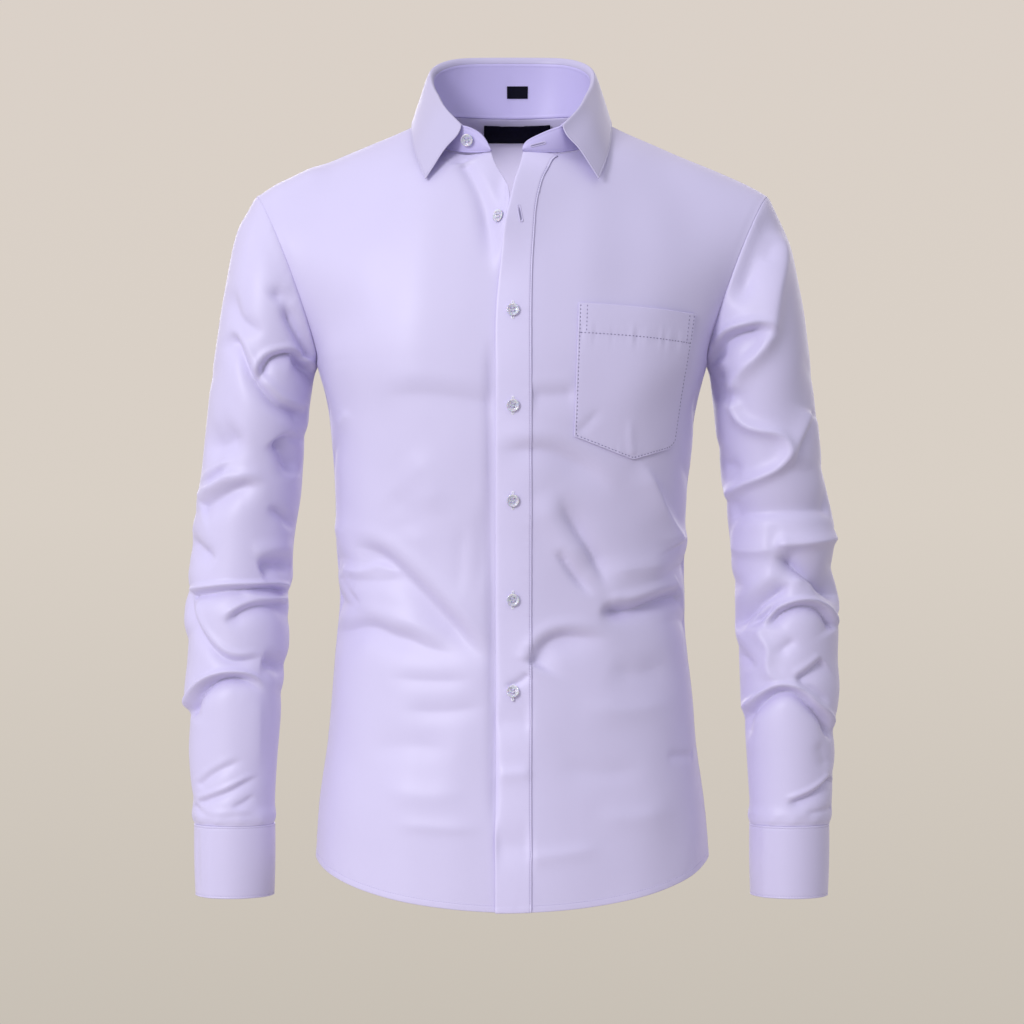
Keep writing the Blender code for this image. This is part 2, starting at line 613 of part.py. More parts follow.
def sleeve(side):
    is_front = np.array([f for f, _ in RING_K])
    k_of = np.array([k for _, k in RING_K])
    table = FOLDS_LEFT_SLEEVE if side > 0 else FOLDS_RIGHT_SLEEVE

    def at(fr, k, r):
        return ring_point(fr, k, r) * np.array([side, 1.0, 1.0])

    def fn(col, row):
        col = col % SLEEVE_COLS
        fr, k, r = is_front[col], k_of[col], row.astype(float)
        p = at(fr, k, r)
        kk = np.clip(k, 0.02, 7.98)
        da = at(fr, kk + 0.02, r) - at(fr, kk - 0.02, r)
        dr = at(fr, k, np.minimum(r + 0.02, len(SLEEVE) - 1)) - at(fr, k, np.maximum(r - 0.02, 0))
        n = unit(np.cross(da, dr))
        mid = (at(fr, 0 * k, r) + at(fr, 0 * k + 8.0, r)) / 2
        n = n * np.sign(np.sum(n * (p - mid), axis=-1, keepdims=True) + 1e-12)
        x, z = p[..., 0], p[..., 2]
        h = folds(table, x, z, -n[..., 1]) + folds(FOLDS_SLEEVE_BACK, np.abs(x), z, n[..., 1])
        h = h * ramp(0.0, 2.0, r) * (1 - ramp(len(SLEEVE) - 2.5, len(SLEEVE) - 1.0, r))
        p = p + n * h[..., None]
        gap = np.where(row == 0, 0.35 + 0.75 * ramp(0.0, 8.0, k), 0.0)
        return p + gap[..., None] * np.array([0.94 * side, 0.0, -0.33])
    return fn


def cuff(side):
    def fn(col, row):
        # column 0 is the visible end, the last columns lie under it
        deg = CUFF_END + CUFF_STEP * col
        last = 360 // CUFF_STEP
        inside = -(CUFF_WALL + 0.5) * ramp(last - 2, last, col) * (col > last - 2)
        a = np.radians(deg)
        rx, ry = CUFF_R[0] + inside, CUFF_R[1] + inside
        z = CUFF_TOP + (CUFF_BOTTOM - CUFF_TOP) * row / 2.0
        x = CUFF_MID[0] + rx * np.sin(a)
        y = CUFF_MID[1] - ry * np.cos(a)
        return pts(side * x, y, z)
    return fn


# ---------------------------------------------------------------- collar
def collar_side(side):
    rows = COLLAR
    return spline([r[0] for r in rows], [r[1:] for r in rows])


COLLAR_AT = {s: collar_side(s) for s in (1, -1)}
LEAF_END = 202.0


def fold_line(side, along):
    p = COLLAR_AT[side](np.minimum(along, LEAF_END))
    return p[..., :3], p[..., 3:]


def stand_curves(side, along):
    """Bottom seam and top seam of the stand; past the leaf the top edge comes down."""
    base = NECK_AT[side](along)
    base = base + np.array([0.0, 0.0, 1.0]) * (0.45 + 0.95 * ramp(120.0, 200.0, along))[..., None]
    top, _ = fold_line(side, along)
    top = top - np.array([0.0, 0.0, STAND_DROP])
    rows = STAND_ENDS[side]
    end = spline([LEAF_END + r[0] for r in rows], [r[1:] for r in rows])
    k = ramp(165.0, LEAF_END, along)[..., None]
    top = top + k * (np.array(rows[0][1:]) - (np.array(COLLAR[-1][1:4]) - np.array([0, 0, STAND_DROP])))
    top = np.where((along > LEAF_END)[..., None], end(along), top)
    return base, top


def mirrored(p, side):
    return p * np.array([side, 1.0, 1.0])


STAND_COLS = [0.0, 16.0, 32.0, 48.0, 63.0, 77.0, 91.0, 103.0, 116.0, 131.0, 147.0, 162.0, 178.0, 190.0, LEAF_END]


def stand_stations():
    """Distances along the neckline from the right end, round the back, to the left end."""
    past = {s: [LEAF_END + r[0] for r in STAND_ENDS[s][1:]] for s in (1, -1)}
    right = [(-1, a) for a in reversed(STAND_COLS[1:] + past[-1])]
    left = [(1, a) for a in STAND_COLS + past[1]]
    return right + left


STATIONS = stand_stations()


def stand_point(side, along, w):
    along = np.asarray(along, float)
    base, top = stand_curves(side, along)
    w = np.asarray(w, float)[..., None]
    p = base * (1 - w) + top * w
    # the band leans in a little and is slightly full halfway up
    mid = p * np.array([1.0, 1.0, 0.0])
    p = p + unit(mid) * (1.2 * np.sin(math.pi * w))
    return mirrored(p, side)


def stand(col, row):
    side = np.array([s for s, _ in STATIONS])[col]
    along = np.array([a for _, a in STATIONS])[col]
    out = np.zeros((len(col), 3))
    for s in (1, -1):
        pick = side == s
        out[pick] = stand_point(s, along[pick], row[pick] / 2.0)
    return out


LEAF_COLS = [(-1, a) for a in reversed(STAND_COLS[1:])] + [(1, a) for a in STAND_COLS]
LEAF_ROWS = [0.0, 0.45, 1.0, 1.55, 2.35, 3.2, 4.0]


def leaf_point(side, along, w):
    """w 0 at the stand's top seam, 1 on the fold, 4 at the free edge."""
    along, w = np.asarray(along, float), np.asarray(w, float)
    top, edge = fold_line(side, along)
    flat = top * np.array([1.0, 1.0, 0.0])
    away = unit(flat - np.array([0.0, 0.0, 0.0]))
    z = np.array([0.0, 0.0, 1.0])
    _, seam = stand_curves(side, along)
    rise = top[..., 2:3] - seam[..., 2:3]
    lean = 1.0 - 0.8 * ramp(150.0, LEAF_END, along)[..., None]
    seam = seam + z * 0.45 + away * 0.2
    inner = top + away * 0.3 - z * (0.35 * rise - 0.5 * (1 - lean))
    crest = top + away * 2.3 + z * 1.2 * (1 - lean)
    outer = top + away * 4.3 - z * 2.6
    keys = [0.0, 0.45, 1.0, 1.55]
    low = np.stack([seam, inner, crest, outer])
    out = np.zeros(top.shape)
    t = (w - 1.55) / 2.45
    fall = outer + (edge - outer) * t[..., None] + away * (1.4 * np.sin(math.pi * np.clip(t, 0, 1)))[..., None]
    for i, key in enumerate(keys):
        out = np.where(np.isclose(w, key)[..., None], low[i], out)
    out = np.where((w > 1.56)[..., None], fall, out)
    return mirrored(out, side)


def leaf(col, row):
    side = np.array([s for s, _ in LEAF_COLS])[col]
    along = np.array([a for _, a in LEAF_COLS])[col]
    w = np.array(LEAF_ROWS)[row]
    out = np.zeros((len(col), 3))
    for s in (1, -1):
        pick = side == s
        out[pick] = leaf_point(s, along[pick], w[pick])
    return out


def collar_out(c):
    return Vector((c.x, c.y, 0.0))


# ---------------------------------------------------------------- pocket, labels, buttons
POCKET_AT = spline([r[0] for r in POCKET], [r[1:] for r in POCKET])


def pocket(nu, nv):
    def fn(col, row):
        c = POCKET_AT(col / nu)
        w = row / nv
        # the bottom is two straight lines that meet in a point
        u = col / nu
        zb = np.interp(u, [0.0, 0.57, 0.94, 1.0], [-283.0, -303.0, -293.0, -287.0])
        x = c[..., 0] * (1 - w) + c[..., 2] * w
        z = c[..., 1] * (1 - w) + zb * w
        s, q = find(True, 1, x, z)
        return skin(True, 1, s, q, lap(x, z) + STRIP + 0.8)
    return fn


def neck_label(col, row):
    x = -27.0 + 64.0 * col / 8.0
    z = 15.0 - 15.2 * row / 2.0
    out = np.zeros((len(col), 3))
    for s in (1, -1):
        pick = (x >= 0) if s > 0 else (x < 0)
        ss, q = find(False, s, x[pick], z[pick])
        out[pick] = skin(False, s, ss, q, np.full(np.shape(q), -CLOTH - 4.4))
    return out


def size_label(col, row):
    x = (-4.4 + 18.6 * col / 4.0)
    w = 0.37 + 0.22 * row / 2.0
    out = np.zeros((len(col), 3))
    for s in (1, -1):
        pick = (x >= 0) if s > 0 else (x < 0)
        p = stand_point(s, np.abs(x[pick]), w[pick])
        out[pick] = p - unit(p * np.array([1.0, 1.0, 0.0])) * (STAND_WALL + 0.4)
    return out


def button_mesh(where, cut, mat):
    """One four-hole button, face towards +Z, back on z = 0."""
    prof = [(0.0, 0.62), (0.60, 0.62), (0.78, 0.98), (0.93, 1.0), (1.0, 0.70), (0.97, 0.22), (0.72, 0.0), (0.0, 0.0)]
    me = bpy.data.meshes.new("button_profile")
    bm = bmesh.new()
    vs = [bm.verts.new((r * BUTTON_R * MM, 0.0, h * BUTTON_T * MM)) for r, h in prof]
    for a, b in zip(vs, vs[1:]):
        bm.edges.new((a, b))
    bm.to_mesh(me)
    bm.free()
    ob = bpy.data.objects.new("button_turned", me)
    where.objects.link(ob)
    sc = ob.modifiers.new("turn", "SCREW")
    sc.steps = sc.render_steps = 16
    sc.use_merge_vertices = True
    sc.merge_threshold = 0.00001
    sc.use_normal_calculate = True
    tool = bmesh.new()
    for i in range(4):
        a = math.radians(45 + 90 * i)
        at = Matrix.Translation(Vector((math.cos(a), math.sin(a), 0)) * HOLE_OUT * math.sqrt(2) * MM * 0.9)
        bmesh.ops.create_cone(tool, cap_ends=True, segments=6, radius1=HOLE_R * MM, radius2=HOLE_R * MM,
                              depth=8 * MM, matrix=at)
    cm = bpy.data.meshes.new("holes")
    tool.to_mesh(cm)
    tool.free()
    co = bpy.data.objects.new("holes", cm)
    cut.objects.link(co)
    co.hide_render = True
    co.display_type = "WIRE"
    bo = ob.modifiers.new("holes", "BOOLEAN")
    bo.operation, bo.object, bo.solver = "DIFFERENCE", co, "EXACT"
    bpy.context.view_layer.update()
    done = bpy.data.meshes.new_from_object(ob.evaluated_get(bpy.context.evaluated_depsgraph_get()))
    done.name = "button"
    bpy.data.objects.remove(ob, do_unlink=True)
    bpy.data.objects.remove(co, do_unlink=True)
    done.materials.clear()
    done.materials.append(mat)
    done.shade_smooth()
    done.set_sharp_from_angle(angle=math.radians(40))
    return done


def place_button(name, where, mesh, at, normal, spin=0.0):
    n = Vector(normal).normalized()
    up = Vector((0, 0, 1))
    x = up.cross(n).normalized()
    y = n.cross(x)
    m = Matrix((x, y, n)).transposed().to_4x4()
    ob = bpy.data.objects.new(name, mesh)
    where.objects.link(ob)
    ob.matrix_world = Matrix.Translation(Vector(at) * MM) @ m @ Matrix.Rotation(spin, 4, "Z")
    return ob


def surface_frame(front, side, x, z, out):
    s, q = find(front, side, np.array([x]), np.array([z]))
    p = skin(front, side, s, q, np.full(1, out))[0]
    a = skin(front, side, s + 0.02, q, np.full(1, out))[0] - p
    b = skin(front, side, s, q + 0.2, np.full(1, out))[0] - p
    n = np.cross(a, b)
    n = n / np.linalg.norm(n)
    if n[1] * (-1 if front else 1) < 0:
        n = -n
    return p, n


def main():
    fresh()
    shirt = collection(SHIRT)
    cutters = collection("cutters")
    lavender = (0.64, 0.59, 0.86)

    def cloth(name):
        return material(name + "_cotton", lavender, 0.62, 0.0, 0.3)

    nq = len(Q_FRONT) - 1
    sheet("front_right", shirt, FRONT_COLS, nq, front_panel(-1), CLOTH, cloth("front_right"), forward)
    sheet("front_left", shirt, FRONT_COLS, nq, front_panel(1), CLOTH, cloth("front_left"), forward)
    sheet("placket", shirt, 2, Q_FRONT.index(Q_ARM + 5.5), placket_strip, STRIP, cloth("placket"), forward)
    sheet("back", shirt, 2 * BACK_COLS, len(BACK_LOW) - 1, back_panel(BACK_LOW, BACK_COLS), CLOTH, cloth("back"), backward)
    # The yoke's lower rows run right across; the rows past the neck start on the neckline.
    yoke_sheet(shirt, YOKE_ROWS, YOKE_ROWS.index(Q_ARM + 6.5), cloth("yoke"))
    for side, name in ((-1, "right"), (1, "left")):
        sheet("sleeve_" + name, shirt, SLEEVE_COLS, len(SLEEVE) - 1, sleeve(side), CLOTH,
              cloth("sleeve_" + name), from_axis(side * 250.0, 0.0), weld=True)
        sheet("cuff_" + name, shirt, 360 // CUFF_STEP + 2, 2, cuff(side), CUFF_WALL,
              cloth("cuff_" + name), from_axis(side * CUFF_MID[0], CUFF_MID[1]))
    sheet("collar_stand", shirt, len(STATIONS) - 1, 2, stand, STAND_WALL, cloth("collar_stand"), collar_out)
    sheet("collar_leaf", shirt, len(LEAF_COLS) - 1, len(LEAF_ROWS) - 1, leaf, LEAF_WALL, cloth("collar_leaf"), collar_out)
    sheet("pocket", shirt, 8, 7, pocket(8, 7), STRIP, cloth("pocket"), forward)
    black = (0.012, 0.010, 0.028)
    sheet("label_neck", shirt, 8, 2, neck_label, 1.0, material("label_neck_satin", black, 0.55), backward)
    sheet("label_size", shirt, 4, 2, size_label, 1.0, material("label_size_satin", black, 0.55), backward)

    pearl = material("button_pearl", (0.72, 0.69, 0.82), 0.22)
    mesh = button_mesh(shirt, cutters, pearl)
    for i, z in enumerate(BUTTONS_FASTENED, 1):
        p, n = surface_frame(True, 1, 0.8, z, LAP_LIFT + STRIP + 0.35 + 0.45)
        place_button("button_front_%d" % i, shirt, mesh, p, n)
    p, n = surface_frame(True, -1, BUTTON_OPEN[0], BUTTON_OPEN[1], 0.45)
    place_button("button_front_0", shirt, mesh, p, n)
    corner = [stand_point(-1, np.array([LEAF_END + a]), np.array([w]))[0]
              for a, w in ((9.0, 0.5), (3.0, 0.5), (15.0, 0.5), (9.0, 0.1), (9.0, 0.9))]
    n = unit(np.cross(corner[2] - corner[1], corner[4] - corner[3]))
    n = n if n[1] < 0 else -n
    place_button("button_collar", shirt, mesh, corner[0] + n * 1.1, n)
    for side, name in ((-1, "right"), (1, "left")):
        a = math.radians(CUFF_END + 1.5 * CUFF_STEP)
        n = np.array([side * math.sin(a), -math.cos(a), 0.0])
        at = np.array([side * CUFF_MID[0], CUFF_MID[1], (CUFF_TOP + CUFF_BOTTOM) / 2])
        at = at + np.array([side * CUFF_R[0] * math.sin(a), -CUFF_R[1] * math.cos(a), 0.0]) + n * 0.4
        place_button("button_cuff_" + name, shirt, mesh, at, n)
    bpy.data.collections.remove(cutters)


def yoke_sheet(where, rows, low, mat):
    """The yoke as one sheet: 16 columns wide, split at the neck above row `low`."""
    nu = BACK_COLS
    fn = back_panel(rows, nu)
    bm = bmesh.new()
    nv = len(rows) - 1
    bmesh.ops.create_grid(bm, x_segments=2 * nu, y_segments=nv, size=0.5)
    vs = list(bm.verts)
    # the two sides part at the middle column above the neck point
    mid_edges = [e for e in bm.edges if all(abs(v.co.x) < 1e-6 for v in e.verts)
                 and min(v.co.y for v in e.verts) > low / nv - 0.5 - 1e-6]
    bmesh.ops.split_edges(bm, edges=mid_edges)
    vs = list(bm.verts)
    col = np.array([round((v.co.x + 0.5) * 2 * nu) for v in vs])
    row = np.array([round((v.co.y + 0.5) * nv) for v in vs])
    p = fn(col, row)
    for i, v in enumerate(vs):
        q = p[i]
        if col[i] == nu and row[i] > low:
            # each copy of a middle point goes to its own side of the neck
            mean_x = sum(f.calc_center_median().x for f in v.link_faces)
            side = 1.0 if mean_x > 0 else -1.0
            q = np.array([side * abs(q[0]), q[1], q[2]])
        v.co = v.co.copy()
        p[i] = q
    for i, v in enumerate(vs):
        v.co = Vector((float(p[i][0]) * MM, float(p[i][1]) * MM, float(p[i][2]) * MM))
    bm.normal_update()
    total = sum(f.calc_area() * f.normal.dot(upward(None)) for f in bm.faces)
    if total < 0:
        bmesh.ops.reverse_faces(bm, faces=list(bm.faces))
    me = bpy.data.meshes.new("yoke")
    bm.to_mesh(me)
    bm.free()
    ob = bpy.data.objects.new("yoke", me)
    where.objects.link(ob)
    ob.data.materials.append(mat)
    sol = ob.modifiers.new("wall", "SOLIDIFY")
    sol.thickness = CLOTH * MM
    sol.offset = -1.0
    sol.use_even_offset = True
    sol.use_quality_normals = True
    return ob


main()
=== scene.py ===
"""Long sleeve dress shirt: its cloth, stitching, buttons, labels, materials, light and camera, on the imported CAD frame.

Tables are in millimetres in the frame of the part: +Z up, the front faces -Y, +X is the wearer's left.
The meshes are made in metres.
"""
import math

import bmesh
import bpy
import numpy as np
from mathutils import Matrix, Vector


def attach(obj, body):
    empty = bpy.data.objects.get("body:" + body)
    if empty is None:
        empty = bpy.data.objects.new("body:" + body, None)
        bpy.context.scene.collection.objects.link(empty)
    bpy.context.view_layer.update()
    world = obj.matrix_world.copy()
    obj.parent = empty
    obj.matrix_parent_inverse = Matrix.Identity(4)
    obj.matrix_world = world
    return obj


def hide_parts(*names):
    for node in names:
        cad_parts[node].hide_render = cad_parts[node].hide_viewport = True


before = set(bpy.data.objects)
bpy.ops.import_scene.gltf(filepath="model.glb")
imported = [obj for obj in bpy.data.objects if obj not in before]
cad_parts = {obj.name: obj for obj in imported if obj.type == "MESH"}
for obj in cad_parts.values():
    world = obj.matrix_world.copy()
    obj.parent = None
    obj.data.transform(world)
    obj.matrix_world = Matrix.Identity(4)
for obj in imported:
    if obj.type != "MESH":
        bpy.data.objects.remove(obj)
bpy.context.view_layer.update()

# ---------------------------------------------------------------- the shirt's own sizes and surfaces (mm)

MM = 0.001
CLOTH = 1.2            # wall of the body panels and sleeves
STRIP = 1.1            # wall of the placket strip and the pocket
STAND_WALL = 2.0       # collar stand, two layers and interlining
LEAF_WALL = 1.7        # collar leaf
CUFF_WALL = 1.8        # cuff, two layers and interlining
SEAM = 0.22            # half of the gap kept at a seam
RIDGE = 0.62           # the same at the shoulder seam, where the walls meet at an angle
FRONT_HEM = -704.0     # lowest point of the front tail
BACK_HEM = -716.0      # lowest point of the back tail
SIDE_HEM = -663.0      # hem at the side seams
HEM_DROP = -13.0       # how quickly the hem curves down from the side seam
UNDERARM = (179.0, -214.0)      # x, z of the underarm point
SHOULDER = (235.0, -60.0)       # x, z of the shoulder point
ARM_FRONT, ARM_BACK = 55.0, 68.0    # armhole depth in front and behind
ARM_BOW_FRONT, ARM_BOW_BACK = 9.0, 4.0
SIDE_Y = 3.0           # the side seams lie a little behind the centre
LAP_LIFT = 1.9         # the left front stands off this much where it laps over the right
BUTTON_R, BUTTON_T = 5.75, 2.3
HOLE_R, HOLE_OUT = 0.85, 1.55
Q_ARM = 18.0           # row number at the underarm; 8 more rows run up the armhole
# Body below the underarm: row q from the hem, half width at each side seam, depth in
# front and behind, fullness of the section towards the middle and towards the side.
BODY = [
    # q, right, left, front, back, full_mid, full_side
    (0.0, 179.5, 180.0, 120.0, 113.0, 0.66, 0.62),
    (2.0, 176.5, 176.0, 118.0, 111.0, 0.66, 0.62),
    (4.0, 169.5, 169.0, 115.0, 107.0, 0.66, 0.62),
    (6.0, 165.0, 165.0, 112.0, 102.0, 0.66, 0.62),
    (8.0, 160.8, 159.5, 110.0, 97.0, 0.66, 0.62),
    (9.5, 158.2, 158.2, 110.0, 95.0, 0.66, 0.62),
    (11.0, 160.8, 158.4, 111.0, 97.0, 0.66, 0.63),
    (13.0, 162.0, 160.0, 115.0, 104.0, 0.67, 0.64),
    (15.0, 165.2, 165.0, 120.0, 111.0, 0.69, 0.66),
    (16.5, 169.5, 169.0, 123.0, 115.0, 0.70, 0.69),
    (18.0, 179.0, 179.0, 124.0, 117.0, 0.715, 0.71),
]
# Front above the underarm, one row for each step k up the armhole: the middle line
# (depth, height) and the two control points of the row.
FRONT_UP = [
    # k, mid_y, mid_z, x1, y1, z1, x2, y2, z2
    (2.0, -117.0, -142.0, 110.0, -119.0, -153.0, 172.0, -90.0, -183.0),
    (4.0, -98.0, -68.0, 82.0, -102.0, -81.0, 165.0, -82.0, -118.0),
    (5.0, -80.0, -28.5, 70.0, -86.0, -42.0, 160.0, -64.0, -88.0),
    (6.0, -70.0, -27.5, 95.0, -62.0, -33.0, 168.0, -45.0, -66.0),
    (7.0, -37.0, -11.0, 122.0, -30.0, -19.0, 182.0, -23.0, -46.0),
    (8.0, 0.0, 9.0, 132.0, 0.0, -13.0, 195.0, 0.0, -39.0),
]
# Back above the underarm, the same; the yoke seam is at k = 5 and the neck at 6.5.
BACK_UP = [
    # k, mid_y, mid_z, x1, y1, z1, x2, y2, z2
    (2.0, 118.0, -158.0, 115.0, 119.0, -162.0, 174.0, 95.0, -188.0),
    (4.0, 113.0, -102.0, 104.0, 114.0, -110.0, 167.0, 93.0, -136.0),
    (5.0, 107.0, -75.0, 95.0, 110.0, -85.0, 166.0, 84.0, -108.0),
    (6.0, 80.0, -5.0, 78.0, 90.0, -25.0, 168.0, 64.0, -80.0),
    (6.5, 64.5, 19.0, 75.0, 76.0, -3.0, 172.0, 52.0, -68.0),
    (7.0, 58.0, 19.0, 92.0, 48.0, -6.0, 178.0, 36.0, -55.0),
    (8.0, 0.0, 9.0, 132.0, 0.0, -13.0, 195.0, 0.0, -39.0),
]
# Neckline of one side, by distance along it from the middle of the back.
NECK = [
    # along, x, y, z
    (0.0, 0.0, 64.5, 19.0),
    (30.0, 30.0, 60.5, 19.0),
    (62.0, 58.0, 46.0, 18.5),
    (91.0, 75.0, 23.0, 14.5),
    (115.0, 80.0, 0.0, 9.0),
    (147.0, 77.0, -28.0, -6.0),
    (178.0, 66.0, -55.0, -21.0),
    (202.0, 48.0, -70.0, -27.5),
    (221.0, 30.0, -77.0, -29.0),
]
NECK_END = {1: (241.0, 10.0, -80.0, -28.5), -1: (232.0, 18.8, -79.5, -28.5)}
NECK_SHOULDER = 115.0
# Free edge of each front and the placket's stitched edge (x by height z).
EDGES = [
    # z, left_free, left_stitched, right_free
    (-28.5, 10.0, 46.0, -18.8),
    (-41.0, 7.6, 36.5, -14.2),
    (-52.0, 5.0, 29.0, -8.0),
    (-62.0, 2.0, 25.0, -4.4),
    (-74.0, -0.9, 22.0, -2.0),
    (-102.0, -7.0, 19.3, 8.0),
    (-119.0, -8.8, 18.2, 12.0),
    (-163.0, -13.2, 16.9, 15.0),
    (-214.0, -14.5, 16.8, 15.5),
    (-460.0, -14.7, 16.8, 15.5),
    (-720.0, -14.5, 16.8, 15.5),
]
# Sleeve rings from the armhole to the cuff: where the ring meets the outline outside
# and inside, its depth in front and behind, its middle, and the bow of its faces.
SLEEVE = [
    # outer_x, outer_z, inner_x, inner_z, front, back, mid_y, bow_front, bow_back
    (235.0, -60.0, 179.0, -214.0, 55.0, 68.0, 0.0, 9.0, 4.0),
    (247.0, -82.0, 180.0, -221.0, 60.0, 68.0, 0.0, 5.0, 2.0),
    (256.5, -108.0, 181.3, -228.0, 63.0, 67.0, 0.0, 2.0, 0.0),
    (263.0, -138.0, 182.5, -236.0, 64.0, 66.0, 1.0, 0.0, 0.0),
    (269.0, -172.0, 184.2, -247.0, 63.0, 65.0, 2.0, 0.0, 0.0),
    (274.0, -209.0, 186.2, -261.0, 62.0, 63.0, 3.0, 0.0, 0.0),
    (277.5, -243.0, 187.8, -277.0, 60.0, 61.0, 4.0, 0.0, 0.0),
    (281.5, -275.0, 190.5, -294.0, 58.0, 60.0, 5.0, 0.0, 0.0),
    (285.3, -303.0, 193.0, -313.0, 57.0, 58.0, 6.0, 0.0, 0.0),
    (290.3, -331.0, 195.2, -335.0, 56.0, 57.0, 7.0, 0.0, 0.0),
    (294.8, -359.0, 198.6, -359.0, 55.0, 56.0, 8.0, 0.0, 0.0),
    (294.8, -385.0, 201.6, -385.0, 54.0, 55.0, 8.0, 0.0, 0.0),
    (297.6, -411.0, 202.8, -411.0, 53.0, 54.0, 7.0, 0.0, 0.0),
    (301.0, -437.0, 205.0, -437.0, 52.0, 52.0, 5.0, 0.0, 0.0),
    (299.8, -463.0, 205.5, -463.0, 50.0, 50.0, 3.0, 0.0, 0.0),
    (298.4, -489.0, 208.3, -489.0, 48.0, 48.0, 0.0, 0.0, 0.0),
    (300.0, -515.0, 210.0, -515.0, 46.0, 46.0, -3.0, 0.0, 0.0),
    (296.5, -541.0, 212.0, -541.0, 44.0, 44.0, -6.0, 0.0, 0.0),
    (296.0, -567.0, 214.5, -567.0, 42.0, 42.0, -9.0, 0.0, 0.0),
    (294.0, -593.0, 216.2, -593.0, 40.0, 40.0, -12.0, 0.0, 0.0),
    (292.4, -615.0, 217.3, -615.0, 38.5, 38.5, -14.0, 0.0, 0.0),
    (290.8, -634.2, 217.2, -634.2, 38.0, 38.0, -15.0, 0.0, 0.0),
]
CUFF_TOP, CUFF_BOTTOM = -634.8, -699.6
CUFF_MID = (253.8, -15.0)       # x, y of the cuff's axis
CUFF_R = (36.7, 38.0)           # half width and half depth
CUFF_STEP = 15                  # degrees for each column; the ends overlap by two
CUFF_END = 105                  # the visible end, in degrees from the front
# Collar, one side, by the distance along the neckline: the fold line (top of the
# collar) and the leaf's free edge.
COLLAR = [
    # along, fold_x, fold_y, fold_z, edge_x, edge_y, edge_z
    (0.0, 0.0, 59.0, 76.5, 0.0, 77.0, 24.0),
    (30.0, 31.0, 56.0, 75.9, 38.0, 70.0, 23.5),
    (62.0, 56.5, 43.0, 71.8, 69.0, 51.0, 21.0),
    (91.0, 72.8, 19.0, 59.0, 87.0, 24.0, 16.0),
    (115.0, 71.8, -6.0, 43.0, 91.8, -3.0, 8.0),
    (147.0, 66.0, -31.0, 29.5, 90.2, -41.0, -13.5),
    (178.0, 58.0, -58.0, 13.0, 84.5, -70.0, -34.5),
    (202.0, 44.5, -79.0, -4.0, 77.5, -87.0, -52.0),
]
STAND_DROP = 6.5       # the stand's top seam lies this far below the fold line
# The stand's front ends, past the leaf: distance past its end and height of the top edge.
STAND_ENDS = {
    1: [(0.0, 43.5, -79.5, -5.0), (10.0, 33.0, -80.0, -8.5), (20.0, 21.5, -80.5, -13.5),
        (30.0, 12.8, -80.8, -18.5), (39.0, 9.4, -80.8, -23.5)],
    -1: [(0.0, 44.5, -79.5, -4.5), (10.0, 38.0, -80.0, -6.0), (18.0, 29.5, -80.5, -10.5),
         (25.0, 23.5, -80.8, -17.0), (30.0, 19.6, -80.8, -23.5)],
}
# Pocket outline on the left front: x of the two sides and z of the top and bottom, by
# the fraction across.
POCKET = [
    # across, top_x, top_z, bottom_x, bottom_z
    (0.0, 59.0, -165.5, 55.0, -283.0),
    (0.285, 88.0, -167.0, 81.0, -293.0),
    (0.57, 118.0, -169.5, 107.0, -303.0),
    (0.785, 140.5, -171.8, 127.0, -297.5),
    (1.0, 162.0, -174.5, 146.0, -287.0),
]
# Buttons on the placket (height), and the open one on the right front.
BUTTONS_FASTENED = [-171.9, -255.7, -339.4, -427.8, -509.2]
BUTTON_OPEN = (-11.6, -88.4)


def spline(keys, rows):
    """Natural cubic spline through the rows."""
    k = np.array(keys, float)
    y = np.array(rows, float)
    n, h = len(k), np.diff(k)
    a = np.zeros((n, n))
    b = np.zeros(y.shape)
    a[0, 0] = a[-1, -1] = 1.0
    for i in range(1, n - 1):
        a[i, i - 1], a[i, i], a[i, i + 1] = h[i - 1], 2 * (h[i - 1] + h[i]), h[i]
        b[i] = 6 * ((y[i + 1] - y[i]) / h[i] - (y[i] - y[i - 1]) / h[i - 1])
    m = np.linalg.solve(a, b)

    def at(t):
        t = np.clip(np.asarray(t, float), k[0], k[-1])
        i = np.clip(np.searchsorted(k, t, side="right") - 1, 0, n - 2)
        hh, u, v = h[i], k[i + 1] - t, t - k[i]
        if y.ndim > 1:
            hh, u, v = hh[..., None], u[..., None], v[..., None]
        return (m[i] * u**3 + m[i + 1] * v**3) / (6 * hh) + (y[i] / hh - m[i] * hh / 6) * u + (
            y[i + 1] / hh - m[i + 1] * hh / 6) * v

    return at


def ramp(a, b, t):
    t = np.clip((np.asarray(t, float) - a) / (b - a), 0.0, 1.0)
    return t * t * (3 - 2 * t)


def pts(*cols):
    return np.stack(np.broadcast_arrays(*[np.asarray(c, float) for c in cols]), axis=-1)


def unit(v):
    return v / np.maximum(np.linalg.norm(v, axis=-1, keepdims=True), 1e-9)

NECK_AT = {}
for _side in (1, -1):
    _rows = NECK + [NECK_END[_side]]
    NECK_AT[_side] = spline([r[0] for r in _rows], [r[1:] for r in _rows])


def armhole(front, k):
    """Armhole seam of the +X side: k 0 at the underarm, 8 at the shoulder point."""
    a = np.asarray(k, float) * math.pi / 8
    mx, mz = (SHOULDER[0] + UNDERARM[0]) / 2, (SHOULDER[1] + UNDERARM[1]) / 2
    hx, hz = (SHOULDER[0] - UNDERARM[0]) / 2, (SHOULDER[1] - UNDERARM[1]) / 2
    bow = ARM_BOW_FRONT if front else ARM_BOW_BACK
    deep = -ARM_FRONT if front else ARM_BACK
    return pts(mx - hx * np.cos(a) - bow * np.sin(a), deep * np.sin(a), mz - hz * np.cos(a))


